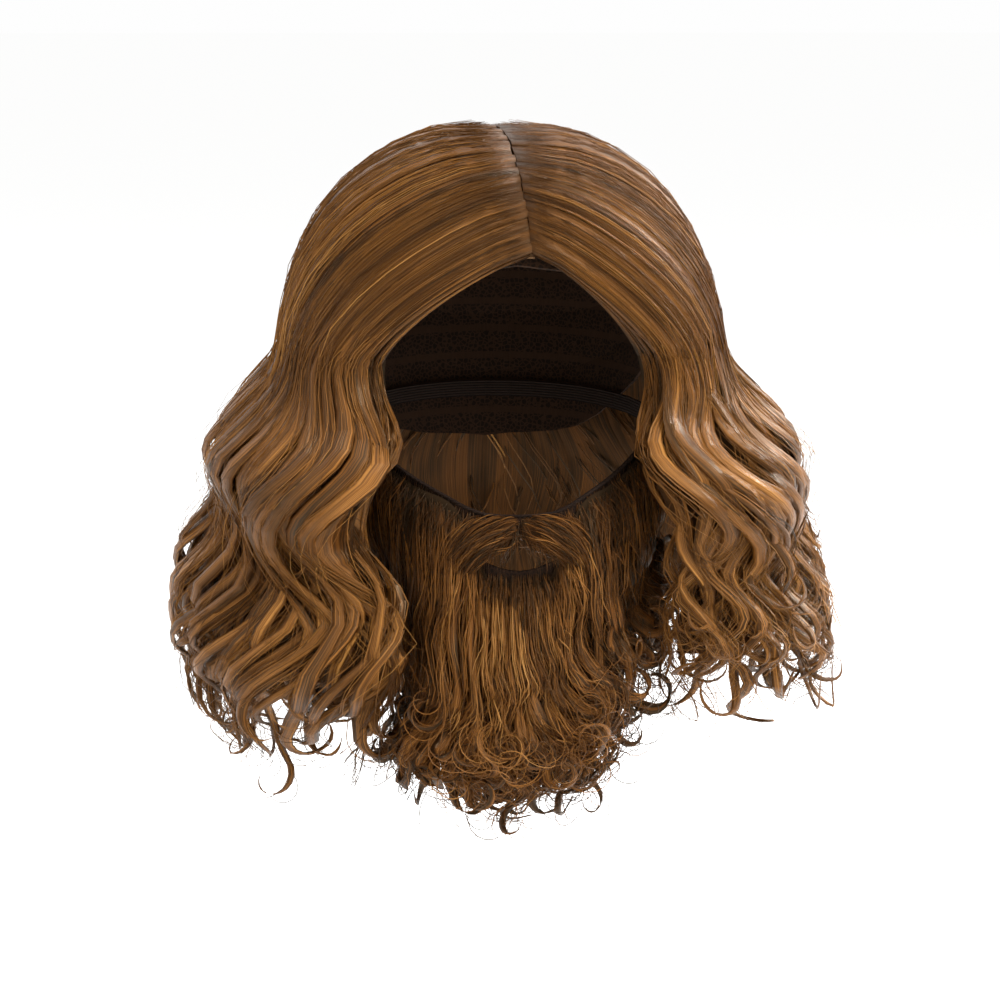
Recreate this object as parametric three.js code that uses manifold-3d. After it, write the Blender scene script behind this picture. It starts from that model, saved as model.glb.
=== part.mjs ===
// A wig with a centre parting and a full beard with its moustache, in the form that they have when worn.
// Millimetres, +Z up. The wearer faces -Y, so the wearer's left is at +X. A drop is a distance below the top
// of the head, and an angle goes round the head from the front (0) past the left ear (90) to the back (180).
// The origin is the inside of the cap's crown, where the wig sits on the head.
import * as THREE from "three";
import { mergeVertices } from "three/addons/utils/BufferGeometryUtils.js";
import Module from "manifold-3d";

const wasm = await Module();
wasm.setup();

// The head that the set fits, which isn't built
const HEAD_HALF_WIDTH = 76;
const HEAD_FRONT = 95;
const HEAD_BACK = 97;
const WIDEST_DROP = 88;
const DOME_POWER = 2.3;

// Fits and cloth. Hair lies a little higher than its clearance, as its flat faces cut across a round head.
const CLEARANCE = 0.4;
const FACET_ROOM = 1.2;
const CAP_THICKNESS = 1.6;
const CAP_DROP = 150;
const BASE_THICKNESS = 1.5;
const ELASTIC_WIDTH = 8;
const ELASTIC_THICKNESS = 1;
const ELASTIC_LAP = 8;
const ELASTIC_CLEARANCE = 0.6;
const PARTING_WIDTH = 3.2;
const PARTING_THICKNESS = 1.2;

// The wig's hair
const HAIR_DROP = 300;
const HAIR_HALF_WIDTH = 156;
const LOCK_THICKNESS = 41;
const WAVE_LENGTH = 98;
const WAVE_WIDTH = 10;
const WAVE_DEPTH = 6;
const LOCKS_A_SIDE = 8;

// The beard and its hair
const BEARD_DROP = 290;
const BEARD_HALF_WIDTH = 70;
const BEARD_FRONT = 136;
const BEARD_LOCK_THICKNESS = 27;
const BEARD_WAVE_LENGTH = 58;
const BEARD_WAVE_WIDTH = 3.5;
const BEARD_WAVE_DEPTH = 3;
const MOUTH_DROP = 168.5;
const LIP_HEIGHT = 16.5;
const MOUTH_WIDTH = 50;
const MOUTH_HEIGHT = 17;
const MOUSTACHE_WIDTH = 18;
const MOUSTACHE_THICKNESS = 12;

const radians = THREE.MathUtils.degToRad;
const mix = THREE.MathUtils.lerp;
const ease = (share) => THREE.MathUtils.smoothstep(share, 0, 1);

// Tables and curves

// The value of one column at a place along a table's first column, with a smooth curve through the rows.
function column(rows, key, name, place) {
  const last = rows.length - 1;
  if (place <= rows[0][key]) return rows[0][name];
  if (place >= rows[last][key]) return rows[last][name];
  const i = rows.findIndex((row) => row[key] > place) - 1;
  const [a, b] = [rows[i], rows[i + 1]];
  const [before, after] = [rows[Math.max(i - 1, 0)], rows[Math.min(i + 2, last)]];
  const step = b[key] - a[key];
  const slopeA = ((b[name] - before[name]) / (b[key] - before[key])) * step;
  const slopeB = ((after[name] - a[name]) / (after[key] - a[key])) * step;
  const t = (place - a[key]) / step;
  return (
    a[name] * (2 * t ** 3 - 3 * t ** 2 + 1) +
    slopeA * (t ** 3 - 2 * t ** 2 + t) +
    b[name] * (3 * t ** 2 - 2 * t ** 3) +
    slopeB * (t ** 3 - t ** 2)
  );
}

// The head below its widest level. The drop is in widest drops, and the reaches are shares of the head's own.
const HEAD_ROWS = [
  { drop: 1.0, side: 1.0, front: 1.0, back: 1.0 },
  { drop: 1.25, side: 0.98, front: 0.985, back: 0.98 },
  { drop: 1.5, side: 0.94, front: 0.98, back: 0.94 },
  { drop: 1.75, side: 0.89, front: 1.03, back: 0.9 },
  { drop: 1.95, side: 0.83, front: 1.05, back: 0.87 },
  { drop: 2.2, side: 0.74, front: 1.03, back: 0.85 },
  { drop: 2.45, side: 0.6, front: 0.93, back: 0.84 },
];

// A point at a height over the head's dome, in a direction from the middle of its widest level.
function overDome(direction, height) {
  const flat = Math.hypot(direction.x, direction.y);
  const share = Math.min(flat, 1) ** (2 / DOME_POWER) / (flat || 1);
  const front = direction.y < 0 ? HEAD_FRONT : HEAD_BACK;
  return new THREE.Vector3(
    (HEAD_HALF_WIDTH + height) * direction.x * share,
    (front + height) * direction.y * share,
    (WIDEST_DROP + height) * Math.max(direction.z, 0) ** (2 / DOME_POWER) - WIDEST_DROP,
  );
}

// A point at a height over the head, at an angle round it and a drop down it.
function overHead(angle, drop, height) {
  const [across, ahead] = [Math.sin(radians(angle)), -Math.cos(radians(angle))];
  if (drop < WIDEST_DROP) {
    const up = (1 - drop / WIDEST_DROP) ** (DOME_POWER / 2);
    const flat = Math.sqrt(1 - up * up);
    return overDome(new THREE.Vector3(across * flat, ahead * flat, up), height);
  }
  const place = drop / WIDEST_DROP;
  const front = HEAD_FRONT * column(HEAD_ROWS, "drop", "front", place);
  const back = HEAD_BACK * column(HEAD_ROWS, "drop", "back", place);
  const side = HEAD_HALF_WIDTH * column(HEAD_ROWS, "drop", "side", place);
  return new THREE.Vector3((side + height) * across, ((ahead < 0 ? front : back) + height) * ahead, -drop);
}

// Skins and solids

// One closed surface over rings of equal length. An end ring of one point is a pole, and any other is closed
// flat.
function skin(rings) {
  const points = rings.flat();
  const starts = rings.map((ring, i) => rings.slice(0, i).flat().length);
  const index = [];
  for (let i = 0; i + 1 < rings.length; i++) {
    const sides = Math.max(rings[i].length, rings[i + 1].length);
    const at = (ring, k) => starts[ring] + (k % rings[ring].length);
    for (let k = 0; k < sides; k++) {
      if (rings[i].length > 1) index.push(at(i, k), at(i, k + 1), at(i + 1, k));
      if (rings[i + 1].length > 1) index.push(at(i, k + 1), at(i + 1, k + 1), at(i + 1, k));
    }
  }
  for (const [ring, turned] of [[0, true], [rings.length - 1, false]]) {
    const sides = rings[ring].length;
    for (let k = 0; k < sides / 2 - 1; k++) {
      const [a, b, c, d] = [k, k + 1, sides - 2 - k, sides - 1 - k].map((n) => starts[ring] + n);
      const faces = b === c ? [[a, b, d]] : [[a, b, c], [a, c, d]];
      for (const face of faces) index.push(...(turned ? face.reverse() : face));
    }
  }
  const geometry = new THREE.BufferGeometry().setFromPoints(points);
  geometry.setIndex(index);
  return geometry;
}

// A geometry as a manifold solid with its faces pointing out.
function solidOf(geometry) {
  const bare = geometry.clone();
  bare.deleteAttribute("normal");
  bare.deleteAttribute("uv");
  const merged = mergeVertices(bare, 1e-4);
  const vertProperties = new Float32Array(merged.attributes.position.array);
  const triVerts = new Uint32Array(merged.index.array);
  const made = new wasm.Manifold(new wasm.Mesh({ numProp: 3, vertProperties, triVerts }));
  if (made.volume() > 0) return made;
  return new wasm.Manifold(new wasm.Mesh({ numProp: 3, vertProperties, triVerts: triVerts.reverse() }));
}

// A manifold solid as a three.js mesh. What a cut leaves loose beside the main body goes.
function meshOf(name, solid, material) {
  const [main] = solid.decompose().sort((a, b) => b.volume() - a.volume());
  const { vertProperties, triVerts } = main.getMesh();
  const geometry = new THREE.BufferGeometry();
  geometry.setAttribute("position", new THREE.BufferAttribute(vertProperties, 3));
  geometry.setIndex(new THREE.BufferAttribute(triVerts, 1));
  geometry.computeVertexNormals();
  const mesh = new THREE.Mesh(geometry, material);
  mesh.name = name;
  return mesh;
}

const cutBy = (solid, others) => others.reduce((left, other) => left.subtract(other), solid);

// Locks of hair

// A sheet of hair gives a point for a place across it, counted in locks, a share of the way down it and a
// height over its inner face. A lock is the part of a sheet between two places, and its outer face is arched.
const ARCH = [
  { across: -1, height: 0.58 },
  { across: -0.62, height: 0.9 },
  { across: 0, height: 1 },
  { across: 0.62, height: 0.9 },
  { across: 1, height: 0.58 },
];
const FLOOR = [1, 0, -1];

function lockSolid(sheet, middle, { shares, rows, thickness }) {
  const rings = shares.map((share) => {
    const size = (name) => column(rows, "share", name, share);
    const span = sheet(middle - 0.5, share, 0).distanceTo(sheet(middle + 0.5, share, 0));
    const half = size("width") / 2 - CLEARANCE / 2 / span;
    const low = size("lift") * thickness;
    const high = size("thickness") * thickness;
    const outer = ARCH.map(({ across, height }) => sheet(middle + across * half, share, low + high * height));
    const inner = FLOOR.map((across) => sheet(middle + across * half, share, low));
    return [...outer, ...inner];
  });
  return solidOf(skin(rings));
}

// The cap

// Where the cap ends, as a share of its own drop, by the angle from the front.
const CAP_RIM_ROWS = [
  { angle: 0, drop: 0.29 },
  { angle: 28, drop: 0.33 },
  { angle: 50, drop: 0.44 },
  { angle: 66, drop: 0.66 },
  { angle: 76, drop: 0.7 },
  { angle: 92, drop: 0.63 },
  { angle: 116, drop: 0.8 },
  { angle: 140, drop: 0.95 },
  { angle: 180, drop: 1.0 },
];
const CAP_COLUMNS = 36;
const CAP_ROWS = 7;
const CAP_ROW_CROWDING = 1.6;

function capSolid(inner, outer) {
  const rim = (angle) => CAP_DROP * column(CAP_RIM_ROWS, "angle", "drop", Math.abs(angle));
  const ring = (share, height) =>
    Array.from({ length: CAP_COLUMNS }, (_, k) => {
      const angle = (360 * k) / CAP_COLUMNS - 180;
      return overHead(angle, rim(angle) * share ** CAP_ROW_CROWDING, height);
    });
  const shares = Array.from({ length: CAP_ROWS }, (_, i) => (i + 1) / CAP_ROWS);
  const top = (height) => [new THREE.Vector3(0, 0, height)];
  const outside = shares.map((share) => ring(share, outer));
  const inside = shares.map((share) => ring(share, inner)).reverse();
  return solidOf(skin([top(outer), ...outside, ...inside, top(inner)]));
}

// The parting strip

const PARTING_FRONT = 61;
const PARTING_BACK = -26;
const PARTING_SLANT = 6;
const PARTING_STEPS = 16;

// How far the parting lies to one side at a tilt from straight up towards the front.
function partingAside(tilt) {
  const share = (tilt - PARTING_BACK) / (PARTING_FRONT - PARTING_BACK);
  return PARTING_SLANT * mix(-1, 1, share);
}

function partingAt(tilt, height, aside) {
  const ahead = new THREE.Vector3(0, -Math.sin(radians(tilt)), Math.cos(radians(tilt)));
  const at = overDome(ahead, height);
  at.x += partingAside(tilt) + aside;
  return at;
}

function partingSolid() {
  const low = CAP_THICKNESS + CLEARANCE;
  const high = low + PARTING_THICKNESS;
  const half = PARTING_WIDTH / 2;
  const rings = Array.from({ length: PARTING_STEPS + 1 }, (_, i) => {
    const tilt = mix(PARTING_FRONT, PARTING_BACK, i / PARTING_STEPS);
    const corners = [[-half, low], [half, low], [half, high], [-half, high]];
    return corners.map(([aside, height]) => partingAt(tilt, height, aside));
  });
  return solidOf(skin(rings));
}

// The wig's locks

// The inner face of the hair from the head's widest level down. The fall is a share of the way from there to
// the hair's drop, and the flares are shares of the room between the head and the widest hair.
const FALL_ROWS = [
  { fall: 0, side: 0, front: 0, back: 0 },
  { fall: 0.05, side: 0.1, front: 0.05, back: 0.01 },
  { fall: 0.12, side: 0.31, front: 0.15, back: 0.03 },
  { fall: 0.23, side: 0.58, front: 0.31, back: 0.08 },
  { fall: 0.36, side: 0.75, front: 0.44, back: 0.12 },
  { fall: 0.5, side: 0.92, front: 0.39, back: 0.21 },
  { fall: 0.65, side: 1.05, front: 0.26, back: 0.3 },
  { fall: 0.79, side: 0.99, front: 0.09, back: 0.25 },
  { fall: 1, side: 0.71, front: -0.13, back: 0.03 },
];

// Along a lock, as shares of it: its width, its thickness, how far it stands off its inner face and how
// freely it waves.
const LOCK_ROWS = [
  { share: 0, width: 1, thickness: 0.2, lift: 0, loose: 0 },
  { share: 0.06, width: 1, thickness: 0.3, lift: 0, loose: 0 },
  { share: 0.16, width: 1, thickness: 0.35, lift: 0, loose: 0 },
  { share: 0.27, width: 1, thickness: 0.47, lift: 0, loose: 0 },
  { share: 0.4, width: 1, thickness: 0.67, lift: 0, loose: 0 },
  { share: 0.52, width: 1, thickness: 0.8, lift: 0, loose: 0.65 },
  { share: 0.64, width: 1, thickness: 0.94, lift: 0, loose: 0.85 },
  { share: 0.84, width: 1, thickness: 1, lift: 0, loose: 0.85 },
  { share: 0.94, width: 0.92, thickness: 0.82, lift: 0.1, loose: 0.9 },
  { share: 1, width: 0.6, thickness: 0.42, lift: 0.3, loose: 1 },
];

// A row for each line between two locks, from the face to the back of the head: the tilt where it leaves the
// parting, its angles at the head's widest level, half way down and at the tip, its drop as a share of the
// hair's, how thick the hair is there, and the phase and the width of its wave.
const RIGHT_LINES = [
  { place: 0, tilt: 61, level: 46, middle: 31, tip: 33, drop: 0.95, body: 0.5, phase: 150, wave: 1.2 },
  { place: 1, tilt: 49, level: 58, middle: 46, tip: 50, drop: 0.95, body: 0.92, phase: 175, wave: 1.2 },
  { place: 2, tilt: 37, level: 70, middle: 61, tip: 64, drop: 0.94, body: 1, phase: 215, wave: 1 },
  { place: 3, tilt: 25, level: 84, middle: 78, tip: 79, drop: 0.91, body: 1, phase: 235, wave: 1 },
  { place: 4, tilt: 12, level: 100, middle: 97, tip: 97, drop: 0.9, body: 1, phase: 270, wave: 1 },
  { place: 5, tilt: 0, level: 118, middle: 117, tip: 117, drop: 0.92, body: 1, phase: 290, wave: 1 },
  { place: 6, tilt: -11, level: 138, middle: 138, tip: 138, drop: 0.96, body: 1, phase: 320, wave: 1 },
  { place: 7, tilt: -21, level: 159, middle: 159, tip: 159, drop: 0.99, body: 1, phase: 350, wave: 0.7 },
  { place: 8, tilt: -29, level: 180, middle: 180, tip: 180, drop: 1, body: 1, phase: 360, wave: 0 },
];
const LEFT_LINES = [
  { place: 0, tilt: 61, level: 45, middle: 37, tip: 40, drop: 0.86, body: 0.5, phase: 100, wave: 1 },
  { place: 1, tilt: 49, level: 57, middle: 51, tip: 54, drop: 0.87, body: 0.92, phase: 130, wave: 1.2 },
  { place: 2, tilt: 37, level: 70, middle: 65, tip: 67, drop: 0.86, body: 1, phase: 165, wave: 1.1 },
  { place: 3, tilt: 25, level: 84, middle: 80, tip: 81, drop: 0.86, body: 1, phase: 190, wave: 1 },
  { place: 4, tilt: 12, level: 100, middle: 98, tip: 98, drop: 0.88, body: 1, phase: 230, wave: 1 },
  { place: 5, tilt: 0, level: 118, middle: 117, tip: 117, drop: 0.91, body: 1, phase: 265, wave: 1 },
  { place: 6, tilt: -11, level: 138, middle: 138, tip: 138, drop: 0.95, body: 1, phase: 310, wave: 1 },
  { place: 7, tilt: -21, level: 159, middle: 159, tip: 159, drop: 0.98, body: 1, phase: 345, wave: 0.7 },
  { place: 8, tilt: -29, level: 180, middle: 180, tip: 180, drop: 1, body: 1, phase: 360, wave: 0 },
];
const CROWN_SHARE = 0.4;
const CROWN_SHARES = [0, 0.05, 0.11, 0.18, 0.25, 0.32];
const FALL_STEPS = 14;
const UNDER_HAIR = CAP_THICKNESS + CLEARANCE + FACET_ROOM;
const FALL_SHARES = Array.from({ length: FALL_STEPS + 1 }, (_, i) => mix(CROWN_SHARE, 1, i / FALL_STEPS));
const WIG_LOCK = { shares: [...CROWN_SHARES, ...FALL_SHARES], rows: LOCK_ROWS, thickness: LOCK_THICKNESS };

// The direction a share of the way between two directions, turned evenly.
function turned(from, to, share) {
  const angle = from.angleTo(to);
  const part = (of) => Math.sin(of * angle) / Math.sin(angle);
  return from.clone().multiplyScalar(part(1 - share)).addScaledVector(to, part(share));
}

// Over the crown a strand turns from the parting to its angle at the head's widest level.
function crownPoint(line, side, down, height) {
  const [tilt, level] = [radians(line("tilt")), radians(line("level"))];
  const root = new THREE.Vector3(0, -Math.sin(tilt), Math.cos(tilt));
  const foot = new THREE.Vector3(side * Math.sin(level), -Math.cos(level), 0);
  const at = overDome(turned(root, foot, down), UNDER_HAIR + height);
  const beside = side * (PARTING_WIDTH / 2 + CLEARANCE);
  at.x += (partingAside(line("tilt")) + beside) * (1 - down) ** 2;
  return at;
}

// From the widest level a strand falls, turns to its angles half way down and at the tip, and waves.
function fallPoint(line, side, fall, height, loose) {
  const drop = mix(WIDEST_DROP, line("drop") * HAIR_DROP, fall);
  const bend = 2 * line("middle") - (line("level") + line("tip")) / 2;
  const degrees = mix(mix(line("level"), bend, fall), mix(bend, line("tip"), fall), fall);
  const [across, ahead] = [Math.sin(radians(degrees)), -Math.cos(radians(degrees))];
  const turn = radians(line("phase")) + (2 * Math.PI * (drop - WIDEST_DROP)) / WAVE_LENGTH;
  const place = (drop - WIDEST_DROP) / (HAIR_DROP - WIDEST_DROP);
  const room = HAIR_HALF_WIDTH - LOCK_THICKNESS - HEAD_HALF_WIDTH - UNDER_HAIR;
  const out = height + WAVE_DEPTH * Math.cos(turn) * loose;
  const reach = (head, name) => head + UNDER_HAIR + room * column(FALL_ROWS, "fall", name, place) + out;
  const aside = WAVE_WIDTH * line("wave") * Math.sin(turn) * loose;
  const x = reach(HEAD_HALF_WIDTH, "side") * across - aside * ahead;
  const deep = ahead < 0 ? reach(HEAD_FRONT, "front") : reach(HEAD_BACK, "back");
  const y = deep * ahead + aside * across;
  return new THREE.Vector3(side * x, y, -drop);
}

function wigSheet(lines, side) {
  return (place, share, height) => {
    const line = (name) => column(lines, "place", name, place);
    const tall = height * line("body");
    if (share < CROWN_SHARE) return crownPoint(line, side, share / CROWN_SHARE, tall);
    const fall = (share - CROWN_SHARE) / (1 - CROWN_SHARE);
    return fallPoint(line, side, fall, tall, column(LOCK_ROWS, "share", "loose", share));
  };
}

// The beard's base, a net that follows the lower face

// The base's upper and lower edge by the angle from the front: the upper as a drop below the nose in shares
// of the mouth's drop, and the lower as a share of the beard's drop.
const BASE_ROWS = [
  { angle: 0, top: 0.0, bottom: 0.747 },
  { angle: 14, top: -0.005, bottom: 0.742 },
  { angle: 28, top: -0.045, bottom: 0.726 },
  { angle: 42, top: -0.085, bottom: 0.695 },
  { angle: 56, top: -0.13, bottom: 0.648 },
  { angle: 68, top: -0.19, bottom: 0.575 },
  { angle: 78, top: -0.24, bottom: 0.481 },
];
const LIP_BEND = 0.4;
const LIP_STEPS = 5;
const BASE_EDGE_ANGLE = 78;
const BASE_COLUMNS = 24;
const BASE_STEPS = 5;

const baseTop = (angle) => MOUTH_DROP * (1 + column(BASE_ROWS, "angle", "top", Math.abs(angle))) - LIP_HEIGHT;
const baseBottom = (angle) => BEARD_DROP * column(BASE_ROWS, "angle", "bottom", Math.abs(angle));

function mouthSolid() {
  const half = MOUTH_WIDTH / 2;
  const rise = MOUTH_HEIGHT / 2;
  const lips = new THREE.Shape();
  const bend = half * LIP_BEND;
  lips.moveTo(-half, 0);
  lips.quadraticCurveTo(-bend, rise, 0, rise);
  lips.quadraticCurveTo(bend, rise, half, 0);
  lips.quadraticCurveTo(bend, -rise, 0, -rise);
  lips.quadraticCurveTo(-bend, -rise, -half, 0);
  const through = new THREE.ExtrudeGeometry(lips, {
    depth: HEAD_FRONT,
    bevelEnabled: false,
    curveSegments: LIP_STEPS,
  });
  through.rotateX(Math.PI / 2);
  through.translate(0, -HEAD_FRONT / 2, -MOUTH_DROP);
  return solidOf(through);
}

function baseSolid(inner, outer) {
  const rings = Array.from({ length: BASE_COLUMNS + 1 }, (_, k) => {
    const angle = mix(-BASE_EDGE_ANGLE, BASE_EDGE_ANGLE, k / BASE_COLUMNS);
    const drops = Array.from({ length: BASE_STEPS + 1 }, (_, i) =>
      mix(baseTop(angle), baseBottom(angle), i / BASE_STEPS),
    );
    const outside = drops.map((drop) => overHead(angle, drop, outer));
    const inside = drops.map((drop) => overHead(angle, drop, inner)).reverse();
    return [...outside, ...inside];
  });
  return solidOf(skin(rings));
}

// The elastic that holds the beard on, round the back of the head inside the cap

const ELASTIC_STEPS = 22;

function elasticSolid() {
  const outer = -ELASTIC_CLEARANCE;
  const inner = outer - ELASTIC_THICKNESS;
  const start = BASE_EDGE_ANGLE - ELASTIC_LAP;
  const side = (baseTop(BASE_EDGE_ANGLE) + baseBottom(BASE_EDGE_ANGLE)) / 2;
  const rings = Array.from({ length: ELASTIC_STEPS + 1 }, (_, k) => {
    const angle = mix(start, 360 - start, k / ELASTIC_STEPS);
    const half = ELASTIC_WIDTH / 2;
    return [[-half, outer], [half, outer], [half, inner], [-half, inner]].map(([down, height]) =>
      overHead(angle, side + down, height),
    );
  });
  return solidOf(skin(rings));
}

// The beard's locks

// The inner face of the beard's hair where it hangs free of the jaw, as shares of the beard's half width and
// front, and where it leaves the jaw and where it is free, as shares of the beard's drop.
const HANG_SIDE = 0.72;
const HANG_FRONT = 0.79;
const HANG_START = 0.655;
const HANG_END = 0.78;

const BEARD_ROWS = [
  { share: 0, width: 1, thickness: 0.14, lift: 0, loose: 0 },
  { share: 0.14, width: 1, thickness: 0.32, lift: 0, loose: 0 },
  { share: 0.45, width: 1, thickness: 0.64, lift: 0, loose: 0.3 },
  { share: 0.75, width: 1, thickness: 1, lift: 0, loose: 1 },
  { share: 0.91, width: 0.95, thickness: 0.88, lift: 0.06, loose: 1.1 },
  { share: 1, width: 0.66, thickness: 0.46, lift: 0.27, loose: 1.2 },
];

// A row for each line between two locks, from the right ear round the chin to the left ear: its angle and its
// drop where it is rooted, as a share of the mouth's, its angle at the tip and its drop there as a share of
// the beard's, how thick it is, and the phase of its wave.
const BEARD_LINES = [
  { place: 0, angle: -76, root: 0.694, tip: -74, drop: 0.78, body: 0.4, phase: 0 },
  { place: 1, angle: -58, root: 0.777, tip: -61, drop: 0.88, body: 0.62, phase: 40 },
  { place: 2, angle: -40, root: 0.843, tip: -48, drop: 0.96, body: 0.8, phase: 90 },
  { place: 3, angle: -23, root: 0.89, tip: -34, drop: 1, body: 1, phase: 150 },
  { place: 4, angle: -13, root: 1.068, tip: -20, drop: 1, body: 1, phase: 190 },
  { place: 5, angle: -4.5, root: 1.08, tip: -6, drop: 0.99, body: 1, phase: 250 },
  { place: 6, angle: 4.5, root: 1.08, tip: 8, drop: 0.98, body: 1, phase: 300 },
  { place: 7, angle: 13, root: 1.068, tip: 22, drop: 0.96, body: 1, phase: 350 },
  { place: 8, angle: 23, root: 0.89, tip: 36, drop: 0.93, body: 1, phase: 400 },
  { place: 9, angle: 40, root: 0.843, tip: 50, drop: 0.88, body: 0.8, phase: 450 },
  { place: 10, angle: 58, root: 0.777, tip: 62, drop: 0.8, body: 0.62, phase: 500 },
  { place: 11, angle: 76, root: 0.694, tip: 74, drop: 0.73, body: 0.4, phase: 540 },
];
const BEARD_LOCK_NAMES = [
  "cheek_lock_right_3",
  "cheek_lock_right_2",
  "cheek_lock_right_1",
  "chin_lock_1",
  "chin_lock_2",
  "chin_lock_3",
  "chin_lock_4",
  "chin_lock_5",
  "cheek_lock_left_1",
  "cheek_lock_left_2",
  "cheek_lock_left_3",
];
const BEARD_STEPS = 12;
const UNDER_BEARD = BASE_THICKNESS + CLEARANCE + FACET_ROOM / 2;
const BEARD_LOCK = {
  shares: Array.from({ length: BEARD_STEPS + 1 }, (_, i) => i / BEARD_STEPS),
  rows: BEARD_ROWS,
  thickness: BEARD_LOCK_THICKNESS,
};

function beardSheet(place, share, height) {
  const line = (name) => column(BEARD_LINES, "place", name, place);
  const drop = mix(line("root") * MOUTH_DROP, line("drop") * BEARD_DROP, share);
  const turn = radians(line("phase")) + (2 * Math.PI * drop) / BEARD_WAVE_LENGTH;
  const loose = column(BEARD_ROWS, "share", "loose", share);
  const degrees = mix(line("angle"), line("tip"), ease(share));
  const tall = height * line("body") + BEARD_WAVE_DEPTH * (1 + Math.cos(turn)) * loose;
  const hang = (drop / BEARD_DROP - HANG_START) / (HANG_END - HANG_START);
  const onHead = overHead(degrees, Math.min(drop, HANG_END * BEARD_DROP), UNDER_BEARD + tall);
  const [across, ahead] = [Math.sin(radians(degrees)), -Math.cos(radians(degrees))];
  const free = new THREE.Vector3(
    (HANG_SIDE * BEARD_HALF_WIDTH + tall) * across,
    (HANG_FRONT * BEARD_FRONT + tall) * ahead,
    -drop,
  );
  const at = onHead.lerp(free, ease(hang));
  const aside = BEARD_WAVE_WIDTH * Math.sin(turn) * loose;
  return new THREE.Vector3(at.x - aside * ahead, at.y + aside * across, -drop);
}

// The moustache, one side at a time from under the nose to its tip past the corner of the mouth: its angle,
// its drop as a share of the mouth's, and its half width and thickness as shares of the moustache's.
const MOUSTACHE_ROWS = [
  { share: 0, angle: 1.2, drop: 0.947, half: 0.36, thickness: 0.58 },
  { share: 0.25, angle: 9, drop: 0.95, half: 0.42, thickness: 0.83 },
  { share: 0.5, angle: 18, drop: 0.979, half: 0.5, thickness: 1 },
  { share: 0.75, angle: 27, drop: 1.047, half: 0.5, thickness: 0.92 },
  { share: 1, angle: 34, drop: 1.151, half: 0.2, thickness: 0.5 },
];
const MOUSTACHE_STEPS = 9;
const MOUSTACHE_LEAN = 1 / 60;

function moustacheSolid(side, grow = 0) {
  const rings = Array.from({ length: MOUSTACHE_STEPS + 1 }, (_, i) => {
    const share = i / MOUSTACHE_STEPS;
    const row = (name) => column(MOUSTACHE_ROWS, "share", name, share);
    const lean = row("angle") * MOUSTACHE_LEAN;
    const point = (across, height) => {
      const down = across * (row("half") * MOUSTACHE_WIDTH + grow);
      const drop = row("drop") * MOUTH_DROP + down;
      return overHead(side * (row("angle") - down * lean), drop, UNDER_BEARD + height);
    };
    const thick = row("thickness") * MOUSTACHE_THICKNESS;
    const outer = ARCH.map(({ across, height }) => point(across, thick * height + grow));
    return [...outer, ...FLOOR.map((across) => point(across, -grow))];
  });
  return solidOf(skin(rings));
}

// Materials and assembly

const material = (color, roughness) => new THREE.MeshStandardMaterial({ color, roughness, metalness: 0 });
const WIG_HAIR = material(0x7d5a38, 0.42);
const BEARD_HAIR = material(0x5e3f22, 0.48);
const CAP_NET = material(0x3a281a, 0.85);
const BEARD_NET = material(0x2c1c10, 0.85);
const PARTING_NET = material(0x8a6a4c, 0.7);
const ELASTIC = material(0x2a1d14, 0.8);

function build() {
  const set = new THREE.Group();
  const add = (name, solid, finish) => set.add(meshOf(name, solid, finish));

  add("wig_cap", capSolid(0, CAP_THICKNESS), CAP_NET);
  add("parting_strip", partingSolid(), PARTING_NET);
  add("beard_base", baseSolid(0, BASE_THICKNESS).subtract(mouthSolid()), BEARD_NET);
  add("beard_elastic", elasticSolid(), ELASTIC);

  for (const [name, side] of [["right", -1], ["left", 1]]) {
    add(`moustache_${name}`, moustacheSolid(side), BEARD_HAIR);
  }
  const moustaches = [-1, 1].map((side) => moustacheSolid(side, CLEARANCE));
  BEARD_LOCK_NAMES.forEach((name, i) => {
    add(name, cutBy(lockSolid(beardSheet, i + 0.5, BEARD_LOCK), moustaches), BEARD_HAIR);
  });
  for (const [name, side, lines] of [["right", -1, RIGHT_LINES], ["left", 1, LEFT_LINES]]) {
    for (let i = 0; i < LOCKS_A_SIDE; i++) {
      add(`wig_lock_${name}_${i + 1}`, lockSolid(wigSheet(lines, side), i + 0.5, WIG_LOCK), WIG_HAIR);
    }
  }
  return set;
}

export default build();
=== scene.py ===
"""The looks of a wig with a slanting centre parting and of a full curly beard on a net base.

Tables and sizes are in millimetres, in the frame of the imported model: +Z up, the wearer faces -Y, and the
wearer's left is at +X. Meshes are in metres. A drop is a distance below the top of the head.
"""
import math

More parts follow.
